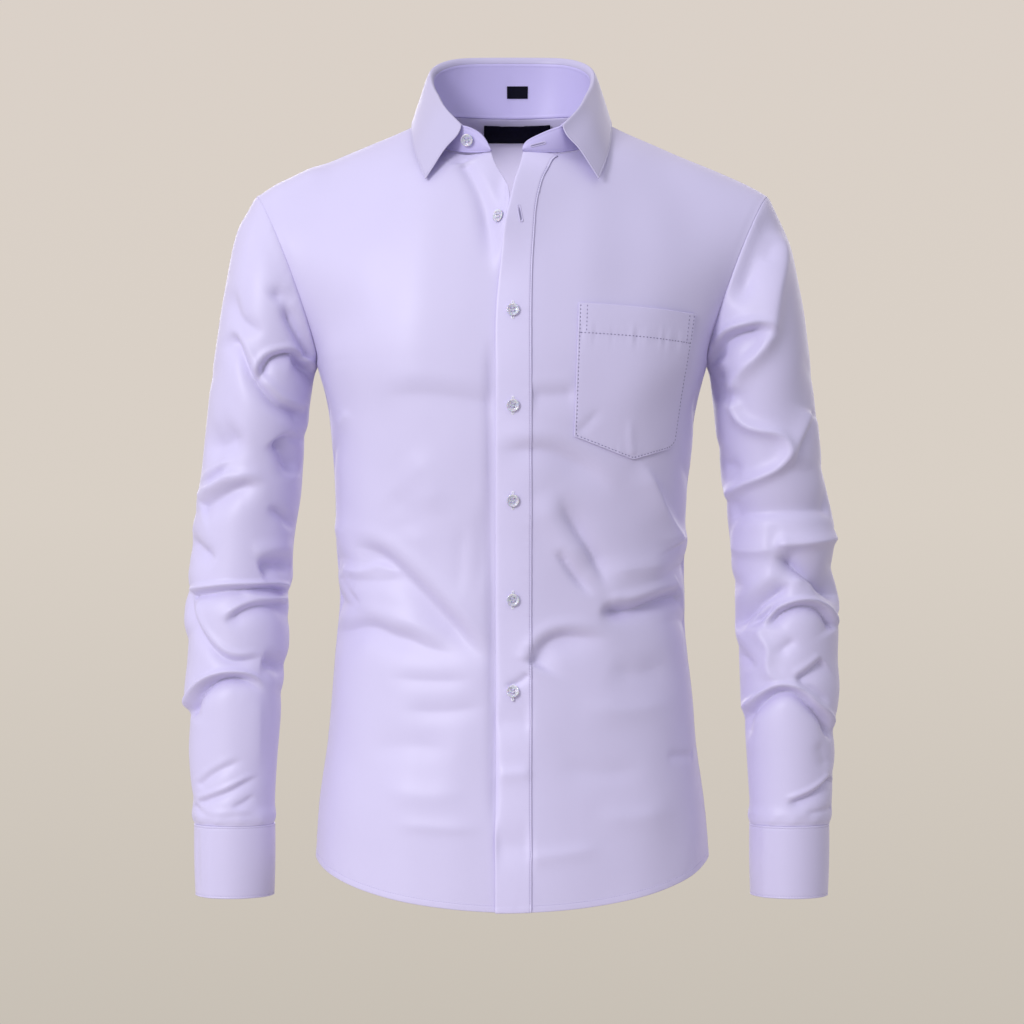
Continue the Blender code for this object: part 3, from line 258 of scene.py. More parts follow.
def body_rows(front, side):
    """Splines over the row number q for the middle point and the two control points."""
    keys, mid, one, two = [], [], [], []
    hem = FRONT_HEM if front else BACK_HEM
    sign = -1.0 if front else 1.0
    for q, right, left, f, b, fm, fs in BODY:
        w = left if side > 0 else right
        d = f if front else b
        zm = hem + (UNDERARM[1] - hem) * q / Q_ARM
        zs = SIDE_HEM + (UNDERARM[1] - SIDE_HEM) * q / Q_ARM
        drop = HEM_DROP * max(0.0, 1 - q / 4) ** 2
        keys.append(q)
        mid.append((0.0, sign * d, zm))
        one.append((fm * w, sign * d, zm + 0.05 * (zs - zm)))
        two.append((w, sign * d * fs, zs + drop))
    for k, my, mz, x1, y1, z1, x2, y2, z2 in (FRONT_UP if front else BACK_UP):
        keys.append(Q_ARM + k)
        mid.append((0.0, my, mz))
        one.append((x1, y1, z1))
        two.append((x2, y2, z2))
    top = Q_ARM + (5.0 if front else 6.5)
    n = keys.index(top) + 1
    return spline(keys[:n], mid[:n]), spline(keys, one), spline(keys, two)

ROWS = {(f, s): body_rows(f, s) for f in (True, False) for s in (1, -1)}
WIDTH = {s: spline([r[0] for r in BODY], [r[2] if s > 0 else r[1] for r in BODY]) for s in (1, -1)}


def controls(front, side, q):
    """The four control points of row q on the +X side (the other side is mirrored)."""
    q = np.asarray(q, float)
    mid, one, two = ROWS[(front, side)]
    k = np.clip(q - Q_ARM, 0.0, 8.0)
    p1, p2 = one(q), two(q)
    p0 = mid(q)
    edge = NECK_AT[side]
    if front:
        end = NECK_END[side]
        p0 = p0 + pts(end[1] * ramp(Q_ARM + 3.0, Q_ARM + 5.0, q), 0 * q, 0 * q)
        neck_pt = edge(end[0] + (NECK_SHOULDER - end[0]) * (k - 5.0) / 3.0)
        p0 = np.where((k > 5.0)[..., None], neck_pt, p0)
    else:
        neck_pt = edge(NECK_SHOULDER * (k - 6.5) / 1.5)
        p0 = np.where((k > 6.5)[..., None], neck_pt, p0)
    zs = SIDE_HEM + (UNDERARM[1] - SIDE_HEM) * np.minimum(q, Q_ARM) / Q_ARM
    low = pts(WIDTH[side](np.minimum(q, Q_ARM)), SIDE_Y * (1 - ramp(14.0, Q_ARM, q)), zs)
    p3 = np.where((q > Q_ARM)[..., None], armhole(front, k), low)
    return p0, p1, p2, p3


def row_point(c, s):
    s = np.asarray(s, float)[..., None]
    return c[0] * (1 - s) ** 3 + c[1] * 3 * s * (1 - s) ** 2 + c[2] * 3 * s * s * (1 - s) + c[3] * s**3


def body(front, side, s, q):
    return row_point(controls(front, side, q), s) * np.array([side, 1.0, 1.0])


def find(front, side, x, z):
    """Row parameters of the surface point seen at (x, z)."""
    x, z = np.atleast_1d(np.asarray(x, float)), np.atleast_1d(np.asarray(z, float))
    s = np.clip(np.abs(x) / 200.0, 0.02, 0.85)
    q = np.clip((z + 704.0) / 27.2, 0.5, 23.0)
    for _ in range(14):
        p = body(front, side, s, q)
        ds = (body(front, side, s + 1e-3, q) - p) / 1e-3
        dq = (body(front, side, s, q + 1e-3) - p) / 1e-3
        ex, ez = x - p[..., 0], z - p[..., 2]
        det = ds[..., 0] * dq[..., 2] - dq[..., 0] * ds[..., 2]
        det = np.where(np.abs(det) < 1e-6, 1e-6, det)
        s = s + np.clip((ex * dq[..., 2] - dq[..., 0] * ez) / det, -0.2, 0.2)
        q = np.clip(q + np.clip((ds[..., 0] * ez - ex * ds[..., 2]) / det, -2.0, 2.0), -0.4, 26.0)
    return s, q


def body_normal(front, side, s, q):
    e = 1e-3
    qa, qb = np.maximum(q - e, 0.0), np.minimum(q + e, Q_ARM + 8.0)
    ds = body(front, side, s + e, q) - body(front, side, s - e, q)
    dq = body(front, side, s, qb) - body(front, side, s, qa)
    n = unit(np.cross(ds, dq))
    away = -1.0 if front else 1.0
    mostly = np.sign(np.sum(n[..., 1] * away))
    return n * (mostly if mostly else 1.0)


def smooth_path(path, per=6):
    p = np.array(path, float)
    along = np.concatenate([[0.0], np.cumsum(np.linalg.norm(np.diff(p, axis=0), axis=1))])
    return spline(along, p)(np.linspace(0, along[-1], per * (len(p) - 1) + 1))


def lap(x, z):
    """How far the left front stands off where it laps over the right one."""
    return LAP_LIFT * (1 - ramp(20.0, 60.0, x)) * ramp(32.0, 66.0, -z)

LEFT_FREE = spline([r[0] for r in reversed(EDGES)], [r[1] for r in reversed(EDGES)])
LEFT_STITCHED = spline([r[0] for r in reversed(EDGES)], [r[2] for r in reversed(EDGES)])
RIGHT_FREE = spline([r[0] for r in reversed(EDGES)], [r[3] for r in reversed(EDGES)])


def s_at(side, q, line):
    """Row parameter where row q crosses the line x(z)."""
    c = controls(True, side, q)
    s = np.full(np.shape(q), 0.05)
    for _ in range(20):
        p = row_point(c, s)
        d = (row_point(c, s + 1e-3)[..., 0] - p[..., 0]) / 1e-3
        s = s + np.clip((side * line(p[..., 2]) - p[..., 0]) / np.maximum(d, 60.0), -0.1, 0.1)
    return s

RINGS = spline([i for i in range(len(SLEEVE))], SLEEVE)


def ring_point(front, k, r):
    """Sleeve of the +X side: k as on the armhole, r the ring number."""
    c = RINGS(r)
    ox, oz, ix, iz, df, db, my, bf, bb = [c[..., i] for i in range(9)]
    a = np.asarray(k, float) * math.pi / 8
    deep = np.where(front, -df, db)
    bow = np.where(front, bf, bb)
    return pts((ox + ix) / 2 - (ox - ix) / 2 * np.cos(a) - bow * np.sin(a), my + deep * np.sin(a),
               (oz + iz) / 2 - (oz - iz) / 2 * np.cos(a))


def collar_side(side):
    rows = COLLAR
    return spline([r[0] for r in rows], [r[1:] for r in rows])

COLLAR_AT = {s: collar_side(s) for s in (1, -1)}
LEAF_END = 202.0


def fold_line(side, along):
    p = COLLAR_AT[side](np.minimum(along, LEAF_END))
    return p[..., :3], p[..., 3:]


def stand_curves(side, along):
    """Bottom seam and top seam of the stand; past the leaf the top edge comes down."""
    base = NECK_AT[side](along)
    base = base + np.array([0.0, 0.0, 1.0]) * (0.45 + 0.95 * ramp(120.0, 200.0, along))[..., None]
    top, _ = fold_line(side, along)
    top = top - np.array([0.0, 0.0, STAND_DROP])
    rows = STAND_ENDS[side]
    end = spline([LEAF_END + r[0] for r in rows], [r[1:] for r in rows])
    k = ramp(165.0, LEAF_END, along)[..., None]
    top = top + k * (np.array(rows[0][1:]) - (np.array(COLLAR[-1][1:4]) - np.array([0, 0, STAND_DROP])))
    top = np.where((along > LEAF_END)[..., None], end(along), top)
    return base, top


def mirrored(p, side):
    return p * np.array([side, 1.0, 1.0])


def stand_point(side, along, w):
    along = np.asarray(along, float)
    base, top = stand_curves(side, along)
    w = np.asarray(w, float)[..., None]
    p = base * (1 - w) + top * w
    # the band leans in a little and is slightly full halfway up
    mid = p * np.array([1.0, 1.0, 0.0])
    p = p + unit(mid) * (1.2 * np.sin(math.pi * w))
    return mirrored(p, side)


def leaf_point(side, along, w):
    """w 0 at the stand's top seam, 1 on the fold, 4 at the free edge."""
    along, w = np.asarray(along, float), np.asarray(w, float)
    top, edge = fold_line(side, along)
    flat = top * np.array([1.0, 1.0, 0.0])
    away = unit(flat - np.array([0.0, 0.0, 0.0]))
    z = np.array([0.0, 0.0, 1.0])
    _, seam = stand_curves(side, along)
    rise = top[..., 2:3] - seam[..., 2:3]
    lean = 1.0 - 0.8 * ramp(150.0, LEAF_END, along)[..., None]
    seam = seam + z * 0.45 + away * 0.2
    inner = top + away * 0.3 - z * (0.35 * rise - 0.5 * (1 - lean))
    crest = top + away * 2.3 + z * 1.2 * (1 - lean)
    outer = top + away * 4.3 - z * 2.6
    keys = [0.0, 0.45, 1.0, 1.55]
    low = np.stack([seam, inner, crest, outer])
    out = np.zeros(top.shape)
    t = (w - 1.55) / 2.45
    fall = outer + (edge - outer) * t[..., None] + away * (1.4 * np.sin(math.pi * np.clip(t, 0, 1)))[..., None]
    for i, key in enumerate(keys):
        out = np.where(np.isclose(w, key)[..., None], low[i], out)
    out = np.where((w > 1.56)[..., None], fall, out)
    return mirrored(out, side)

POCKET_AT = spline([r[0] for r in POCKET], [r[1:] for r in POCKET])


# ---------------------------------------------------------------- folds
# A stroke: height (+ ridge, - trough), width on the left and on the right of the direction of
# travel, path, and then if needed how sharp it is, its lip on the left, and its soft ends.
TORSO = [
    (-7.5, 7, 17, [(-150, -384), (-136, -383), (-122, -388), (-109, -397), (-94.5, -410), (-82, -422), (-67, -437), (-52, -452), (-37.5, -468.5), (-26, -480), (-17, -488)], 1.6, 0.2, (0.22, 0.3)),
    (1.6, 3.5, 6, [(-156, -401), (-133, -402.5), (-122.5, -399), (-104, -404), (-95, -402.5)], 1.6, 0.0, (0.05, 0.35)),
    (-1.2, 5, 7, [(-152, -411), (-125, -412), (-95, -411)], 1.6, 0.0, (0.05, 0.4)),
    (-1.6, 3, 4, [(-156, -408.5), (-147.5, -423), (-137.5, -436)], 1.6, 0.0, (0.05, 0.3)),
    (-6.0, 7, 16, [(-176, -462), (-153, -458), (-137, -454), (-122.5, -455), (-107, -460.5), (-93, -464), (-78, -470), (-59.5, -475), (-38, -480)], 1.6, 0.2, (0.04, 0.5)),
    (1.4, 4, 5, [(-161, -274), (-146.5, -258.5)]),
    (-1.6, 8, 15, [(-124, -250), (-97, -246), (-74.5, -246), (-49, -249), (-16, -254)], 1.6, 0.2, (0.35, 0.04)),
    (-1.4, 7, 7, [(-24, -330), (-26, -380), (-29, -430)]),
    (-1.0, 6, 8, [(-43, -355), (-46, -400), (-47, -430)]),
    (-3.0, 2.6, 4.5, [(-17, -190), (-18, -260), (-18, -330), (-17, -430), (-15.5, -520), (-14.5, -640)], 1.6, 0.0, (0.1, 0.1)),
    (-3.6, 7, 14, [(-17, -297), (14, -295), (36, -297), (52, -304), (66, -312), (78, -324), (88, -341)], 1.6, 0.2, (0.25, 0.4)),
    (-6.4, 10, 4.5, [(42, -330), (47.5, -350), (56.5, -365), (67.5, -381.5), (77, -398), (83, -411), (87, -420)], 1.5, 0.0, (0.4, 0.32)),
    (-4.2, 5, 3, [(39, -381), (50, -400), (60.5, -413), (74, -426.5)], 1.5, 0.0, (0.25, 0.4)),
    (3.4, 16, 14, [(22, -330), (36, -356), (52, -384), (66, -404)], 1.8, 0.0, (0.3, 0.3)),
    (4.6, 4.5, 12, [(111, -304), (121.5, -317), (133, -343), (144, -363), (153, -378.5)], 1.5, 0.0, (0.3, 0.05)),
    (-7.5, 5.5, 7, [(79, -436), (100.5, -439), (113.5, -437), (127, -433), (140.5, -429), (155, -425.5)], 1.3, 0.3, (0.2, 0.02)),
    (-2.8, 9, 6, [(76, -438), (94, -441), (112, -439)], 1.5, 0.0, (0.3, 0.4)),
    (-4.6, 8, 22, [(80, -436), (100.5, -440), (113.5, -440), (127, -436), (140.5, -432), (155, -428)], 1.5, 0.0, (0.5, 0.02)),
    (2.6, 12, 10, [(80, -404), (105, -401), (130, -398), (150, -396)]),
    (-6.0, 5.5, 15, [(18, -488), (23, -478), (31, -467.5), (43, -462), (62.5, -462), (79, -463.5), (90, -465)], 1.7, 0.2, (0.06, 0.55)),
    (-2.0, 6, 11, [(17, -247), (38, -246.5), (58, -245)], 1.6, 0.2, (0.04, 0.2)),
    (-2.2, 16, 14, [(-18, -536), (20, -534)], 1.8, 0.0, (0.25, 0.25)),
    (1.6, 6, 7, [(-16, -583), (19, -580)], 1.6, 0.0, (0.25, 0.25)),
    (-2.2, 16, 14, [(-18, -646), (20, -644)], 1.8, 0.0, (0.25, 0.25)),
    (-2.0, 3, 4, [(-7, -505), (4, -501.5), (15, -493)], 1.5, 0.0, (0.3, 0.1)),
    (-1.5, 8, 9, [(-104, -526), (-60, -527), (-18, -521)]),
    (-1.3, 7, 8, [(-117, -497), (-70, -500), (-28, -498)]),
    (-1.8, 14, 14, [(-134, -566), (-96, -558), (-48, -562)]),
    (1.6, 12, 14, [(-124, -594), (-78, -602), (-36, -598)]),
    (-2.4, 13, 16, [(84, -487), (108, -494), (146, -484)]),
    (1.8, 12, 13, [(58, -520), (100, -527), (150, -518)]),
    (-1.6, 12, 12, [(36, -574), (84, -582), (124, -576)]),
    (1.5, 10, 12, [(70, -618), (112, -622), (146, -614)]),
    (1.8, 14, 16, [(-96, -296), (-74, -322), (-70, -356)]),
    (-1.5, 13, 14, [(-110, -330), (-92, -352), (-88, -376)]),
    (1.2, 8, 5, [(-112, -627), (-60, -630), (-20, -630)]),
    (1.4, 6, 8, [(16, -656), (50, -652), (82, -648)], 1.6, 0.0, (0.05, 0.4)),
    (-1.8, 3, 5, [(138, -568), (164, -570)], 1.6, 0.0, (0.3, 0.02)),
    (-4.5, 9, 6, [(-52, -24), (-44, -38), (-33, -58), (-25, -80), (-21, -104), (-19, -132)], 1.6, 0.0, (0.15, 0.4)),
    (2.2, 6, 8, [(-33, -38), (-25, -52), (-14, -76), (-11, -98), (-10, -116)]),
    (7.0, 20, 5, [(10, -28.5), (6, -37), (2.5, -48), (-1, -60.5), (-2.5, -73), (-7, -99), (-10.5, -124.5), (-12.5, -150)], 1.5, 0.0, (0.25, 0.5)),
]
TORSO_BACK = [
    (-5.0, 9, 22, [(-146, -402), (-96, -424), (-44, -440)], 1.6, 0.25, (0.1, 0.35)),
    (-4.6, 9, 20, [(36, -432), (92, -416), (148, -392)], 1.6, 0.25, (0.35, 0.1)),
    (-3.6, 10, 20, [(-110, -478), (-30, -494), (60, -486), (128, -462)], 1.6, 0.2),
    (3.0, 18, 18, [(-60, -368), (-8, -384), (52, -374)]),
    (-2.4, 7, 12, [(-150, -446), (-118, -452), (-84, -464)], 1.6, 0.0, (0.1, 0.4)),
    (-2.6, 7, 12, [(66, -458), (112, -446), (150, -432)], 1.6, 0.0, (0.4, 0.1)),
    (-2.0, 9, 14, [(-120, -232), (-84, -258), (-40, -270)]),
    (-2.0, 9, 14, [(30, -262), (84, -250), (128, -222)]),
    (2.2, 10, 12, [(-140, -300), (-112, -330), (-96, -362)]),
    (2.2, 10, 12, [(138, -290), (116, -322), (98, -350)]),
    (-1.6, 6, 9, [(-30, -402), (6, -410), (36, -404)]),
    (-1.6, 10, 16, [(-96, -560), (-84, -600), (-90, -650)]),
    (-1.6, 10, 16, [(70, -540), (82, -590), (76, -640)]),
]
# Folds on the two sides, as (y, z) with the sign of x first.
TORSO_SIDE = {
    1: [(-4.0, 8, 14, [(-92, -418), (-48, -404), (-4, -398), (52, -404), (92, -398)], 1.6, 0.2),
        (-2.6, 7, 10, [(-80, -452), (-30, -448), (24, -456), (70, -452)]),
        (2.2, 9, 9, [(-84, -376), (-40, -372), (20, -380)]),
        (-1.8, 8, 10, [(-70, -300), (-20, -318), (40, -330)]),
        (-2.0, 9, 9, [(-40, -236), (-14, -262), (30, -280)])],
    -1: [(-4.0, 8, 14, [(-94, -450), (-46, -436), (0, -428), (56, -420), (96, -408)], 1.6, 0.2),
         (-2.4, 7, 10, [(-84, -398), (-34, -392), (30, -396), (76, -388)]),
         (2.0, 9, 9, [(-70, -362), (-20, -366), (36, -356)]),
         (-1.8, 8, 10, [(-76, -274), (-24, -296), (40, -306)]),
         (-2.0, 9, 9, [(-30, -240), (8, -258), (44, -268)])],
}
ARM_RIGHT = [
    (-8.0, 4, 8, [(-257, -185.5), (-249.5, -200), (-242.5, -214.5), (-235, -229), (-224.5, -241.5), (-210, -254), (-195.5, -259.5), (-182, -263)], 1.35, 0.2, (0.12, 0.1)),
    (-3.6, 5, 8, [(-253.5, -143.5), (-251.5, -162), (-246, -174.5), (-235, -183.5), (-220.5, -189)]),
    (-8.0, 3, 8, [(-230, -237), (-226, -224.5), (-219, -213.5), (-208, -209), (-195.5, -209), (-188, -215.5), (-181, -222.5), (-174, -228)], 1.2, 0.25, (0.2, 0.08)),
    (-8.5, 6, 6, [(-205, -159), (-197, -178), (-188, -194), (-180, -212)], 1.6, 0.0, (0.3, 0.1)),
    (-5.0, 4, 4.5, [(-197, -213), (-187, -220), (-178, -231)], 1.4, 0.0, (0.3, 0.05)),
    (-4.5, 6, 8, [(-220.5, -158), (-211.5, -153.5), (-201, -156.5), (-193.5, -165.5)]),
    (-10.0, 11, 8, [(-213, -282), (-205, -297), (-195, -319)], 1.6, 0.0, (0.2, 0.3)),
    (-3.4, 4, 6, [(-210, -297), (-206.5, -286), (-188, -285)], 1.4, 0.0, (0.2, 0.05)),
    (-8.0, 15, 12, [(-284, -291), (-262, -288), (-240, -278)]),
    (3.0, 4, 4, [(-287, -323), (-264, -306), (-251, -299)]),
    (-3.0, 3, 4, [(-284, -328), (-271, -319), (-257, -309)]),
    (3.6, 3.5, 5, [(-286, -333), (-268, -322), (-250, -309)]),
    (-6.0, 5, 12, [(-287, -346), (-271.5, -339), (-257, -332), (-240.5, -327), (-222, -329)], 1.5, 0.35, (0.05, 0.35)),
    (-4.8, 4, 5, [(-222.5, -344.5), (-210, -352), (-202.5, -361), (-201, -370)]),
    (-7.0, 6, 9, [(-300, -374), (-293, -379), (-278.5, -388.5), (-266, -395)], 1.5, 0.0, (0.04, 0.4)),
    (-9.5, 7, 9, [(-230, -402.5), (-219, -399), (-207, -398.5), (-196, -402)], 1.6, 0.2, (0.2, 0.04)),
    (-7.5, 2.3, 8, [(-297, -426.5), (-293, -425.5), (-278.5, -423), (-264, -421), (-246, -420), (-228, -419.5), (-213.5, -420), (-198, -426)], 1.2, 0.45, (0.03, 0.08)),
    (3.0, 4, 4, [(-248, -420), (-237, -424), (-219, -427.5), (-199, -429.5)], 1.6, 0.0, (0.3, 0.05)),
    (-6.0, 3, 8, [(-261.5, -453), (-249.5, -443.5), (-237, -437.5), (-220.5, -435.5), (-199, -435.5)], 1.4, 0.3, (0.25, 0.05)),
    (-5.2, 3, 6, [(-299, -420), (-294, -440), (-286, -457), (-275, -471), (-260.5, -482), (-246, -485), (-231.5, -483), (-220.5, -480.5)], 1.4, 0.25, (0.04, 0.3)),
    (-7.5, 7, 7, [(-228, -485.5), (-216, -489), (-203, -497)], 1.6, 0.0, (0.25, 0.04)),
    (-10.0, 2.4, 6.5, [(-298, -540), (-292, -527), (-287, -516.5), (-280, -509), (-270, -503), (-258, -500), (-247, -500), (-238, -502.5), (-231, -508), (-226, -515)], 1.15, 0.5, (0.12, 0.3)),
    (2.0, 5, 10, [(-230, -508), (-230, -550), (-229, -590)]),
    (-1.9, 2.4, 5, [(-286, -600), (-278.5, -592.5), (-268, -585), (-253.5, -578), (-240.5, -572.5)], 1.5, 0.2, (0.1, 0.35)),
    (-2.5, 2.2, 4.5, [(-286, -615), (-271.5, -609), (-257, -603.5), (-242.5, -596), (-227, -589)], 1.5, 0.35, (0.08, 0.3)),
    (-1.8, 2.2, 4, [(-255, -618.5), (-242.5, -612.5), (-231.5, -605)]),
    (-2.4, 2.5, 4, [(-290, -616), (-284, -620.5), (-278.5, -624.5), (-250, -626), (-229, -626)], 1.5, 0.2, (0.05, 0.2)),
]
ARM_LEFT = [
    (-10.0, 13, 10, [(230, -68), (222, -89), (214.5, -108), (210, -123), (203.5, -142), (194, -164)], 1.6, 0.0, (0.2, 0.25)),
    (6.0, 8, 11, [(246, -90), (246, -98.5), (244.5, -124), (239, -149), (235, -174.5), (230, -196), (215.5, -214), (202.5, -232), (199, -250)], 1.6, 0.0, (0.15, 0.1)),
    (-2.4, 8, 8, [(242, -99), (233, -118), (230, -126)]),
    (4.0, 4, 5, [(176, -206), (187, -194), (199, -185), (212, -181), (225, -179.5)], 1.5, 0.0, (0.1, 0.3)),
    (-9.0, 3.2, 9, [(171, -215), (180, -206), (189, -197), (200, -190.5), (213.5, -187), (225, -186), (232, -188.5), (236, -194)], 1.25, 0.45, (0.02, 0.3)),
    (-3.6, 5, 6, [(178, -188), (183, -202), (188, -216)], 1.6, 0.0, (0.1, 0.25)),
    (-2.4, 6, 7, [(205, -213), (217, -199.5), (227, -192)]),
    (-6.0, 10, 10, [(186, -214), (187, -232), (192, -256)]),
    (6.6, 5, 6, [(200, -243), (202, -256), (210, -268.5), (228, -276), (242.5, -281), (248.5, -291), (247, -302), (224.5, -319), (199, -333.5), (190, -349)], 1.5, 0.0, (0.08, 0.15)),
    (-4.0, 7, 8, [(184, -288), (194, -306), (212, -310)]),
    (6.0, 16, 9, [(273, -256), (262, -280), (255, -296), (252, -314)], 1.4, 0.0, (0.15, 0.3)),
    (-4.0, 7, 3, [(276, -257), (265, -280), (258, -296), (256, -312)], 1.4, 0.0, (0.1, 0.3)),
    (-5.0, 15, 6, [(196, -353), (239, -350), (292, -347)], 1.6, 0.0, (0.08, 0.05)),
    (3.6, 17, 6, [(196, -382), (214, -385), (244, -383)], 1.6, 0.0, (0.1, 0.3)),
    (6.0, 9, 6, [(234, -379), (252, -379.5), (270, -377.5), (294, -374)], 1.5, 0.0, (0.25, 0.02)),
    (-15.0, 12, 7, [(236, -390), (250, -396), (265, -405), (288, -419), (306, -429)], 1.1, 0.12, (0.25, 0.02)),
    (3.6, 5, 6, [(250, -411.5), (262, -411), (274, -414), (284, -419)]),
    (-8.5, 7, 6, [(200, -457), (212.5, -444.5), (227, -431.5), (243.5, -421), (254, -413)], 1.2, 0.2, (0.08, 0.25)),
    (-5.5, 3, 4, [(211, -457), (223.5, -447), (234.5, -438), (241.5, -430.5)]),
    (-8.0, 2.5, 8, [(230.5, -456.5), (238, -445.5), (249, -438.5), (261.5, -435), (274, -435.5), (285, -440.5), (292, -449.5), (297, -458.5)], 1.2, 0.45, (0.15, 0.08)),
    (3.2, 5, 6, [(225.5, -450), (225.5, -462), (232, -473), (232, -489), (236, -499), (250, -503)], 1.6, 0.0, (0.15, 0.3)),
    (-2.4, 5, 6, [(238, -480.5), (249, -471), (259.5, -464)]),
    (-5.2, 3, 9, [(256, -503.5), (268.5, -496), (284, -484.5)], 1.4, 0.2, (0.2, 0.1)),
    (-3.2, 4, 6, [(197, -475), (201.5, -478.5), (212.5, -484), (221.5, -495)], 1.5, 0.0, (0.05, 0.3)),
    (-8.5, 2.6, 6, [(207, -559.5), (209, -552.5), (212.5, -538), (220, -527.5), (230.5, -518), (241.5, -512.5), (252.5, -512.5), (263.5, -518), (274, -527.5), (285, -538), (291.5, -552.5), (293, -559.5)], 1.4, 0.35, (0.1, 0.1)),
    (-2.4, 3, 5, [(262, -505), (276, -512), (290, -526)]),
    (-4.4, 2.4, 6, [(247, -615), (263.5, -609.5), (277.5, -602.5), (291, -592)], 1.4, 0.35, (0.25, 0.03)),
    (-2.6, 2.4, 4, [(264, -624), (291, -620)], 1.5, 0.0, (0.3, 0.03)),
    (-2.4, 7, 7, [(276, -556), (283, -570.5), (286, -587)]),
    (-1.4, 2.5, 3, [(208, -628), (250, -627.5), (294, -627)], 1.5, 0.0, (0.05, 0.05)),
]
# Back of the sleeves, by |x|; one table for each arm.
ARM_BACK_OF = {
    1: [
        (-4.2, 9, 14, [(202, -332), (238, -338), (280, -324)], 1.5, 0.25, (0.1, 0.15)),
        (-5.4, 7, 14, [(206, -410), (246, -421), (294, -410)], 1.4, 0.3, (0.1, 0.05)),
        (-4.4, 7, 14, [(210, -470), (248, -478), (292, -462)], 1.5, 0.3, (0.15, 0.1)),
        (-3.8, 7, 12, [(214, -530), (250, -537), (290, -522)], 1.5, 0.3, (0.2, 0.1)),
        (-2.4, 7, 9, [(248, -446), (272, -436), (294, -438)]),
        (2.0, 9, 9, [(214, -372), (246, -382), (280, -372)]),
        (-2.0, 8, 10, [(196, -262), (222, -280), (256, -282)]),
        (-2.0, 8, 10, [(188, -214), (214, -232), (250, -226)]),
        (-2.2, 10, 10, [(212, -104), (202, -138), (192, -176)]),
        (-1.8, 6, 7, [(222, -574), (246, -582), (270, -574)]),
        (-1.6, 4, 5, [(230, -610), (248, -604), (262, -594)]),
    ],
    -1: [
        (-4.0, 9, 14, [(200, -322), (232, -334), (278, -336)], 1.5, 0.25, (0.1, 0.15)),
        (-5.4, 7, 14, [(204, -420), (248, -418), (296, -424)], 1.4, 0.3, (0.1, 0.05)),
        (-4.0, 7, 14, [(208, -482), (246, -488), (296, -474)], 1.5, 0.3, (0.15, 0.1)),
        (-4.2, 7, 12, [(213, -520), (244, -512), (293, -530)], 1.5, 0.3, (0.2, 0.1)),
        (-2.4, 7, 9, [(206, -448), (226, -440), (254, -446)]),
        (2.0, 9, 9, [(212, -376), (240, -368), (282, -380)]),
        (-2.2, 8, 10, [(198, -274), (230, -292), (262, -286)]),
        (-2.0, 8, 10, [(190, -222), (220, -236), (254, -218)]),
        (-2.2, 10, 10, [(214, -108), (204, -140), (194, -170)]),
        (-1.8, 6, 7, [(228, -566), (252, -576), (280, -568)]),
        (-1.6, 4, 5, [(226, -606), (246, -612), (266, -602)]),
    ],
}
# Outer and inner sides of the sleeves, as (y, z).
ARM_OUTER = {
    1: [(-4.6, 8, 12, [(-34, -394), (0, -400), (44, -408)], 1.5, 0.3), (-3.6, 7, 12, [(-36, -452), (0, -446), (40, -462)], 1.5, 0.3),
        (-3.4, 7, 12, [(-40, -552), (-4, -545), (32, -524)], 1.5, 0.3), (-2.6, 8, 10, [(-40, -300), (6, -312), (46, -322)]),
        (2.0, 9, 9, [(-40, -356), (6, -364), (44, -372)]), (-1.8, 9, 10, [(-44, -206), (2, -226), (44, -222)]),
        (-2.0, 6, 8, [(-40, -592), (-12, -586), (20, -574)])],
    -1: [(3.6, 24, 26, [(-34, -88), (0, -86), (34, -88)]), (-4.6, 7, 11, [(-38, -424), (4, -420), (44, -424)], 1.5, 0.3), (-3.4, 7, 11, [(-40, -450), (0, -468), (38, -474)], 1.5, 0.3),
         (-3.8, 7, 12, [(-42, -530), (-4, -536), (34, -530)], 1.5, 0.3), (-3.0, 7, 11, [(-42, -344), (4, -350), (48, -336)], 1.5, 0.2),
         (2.0, 9, 9, [(-44, -384), (4, -392), (44, -384)]), (-1.8, 9, 10, [(-46, -212), (0, -226), (46, -218)]),
         (-2.2, 6, 8, [(-42, -616), (-12, -606), (18, -580)])],
}
ARM_INNER = {
    1: [(-3.6, 7, 11, [(-40, -344), (4, -340), (44, -332)], 1.5, 0.2), (-3.6, 7, 12, [(-36, -420), (6, -414), (42, -410)], 1.5, 0.3),
        (-3.0, 7, 11, [(-38, -482), (0, -474), (36, -470)], 1.5, 0.3), (-3.0, 7, 11, [(-38, -546), (-4, -540), (30, -530)], 1.5, 0.3),
        (-3.0, 9, 12, [(-46, -262), (0, -290), (44, -282)])],
    -1: [(-3.6, 7, 11, [(-42, -262), (2, -280), (44, -274)], 1.5, 0.2), (-4.0, 7, 12, [(-38, -418), (4, -424), (42, -420)], 1.5, 0.3),
         (-2.8, 7, 11, [(-36, -436), (0, -446), (36, -448)]), (-3.0, 7, 11, [(-38, -482), (-2, -490), (34, -484)], 1.5, 0.3),
         (-3.0, 7, 11, [(-36, -508), (-2, -516), (30, -520)], 1.5, 0.3)],
}


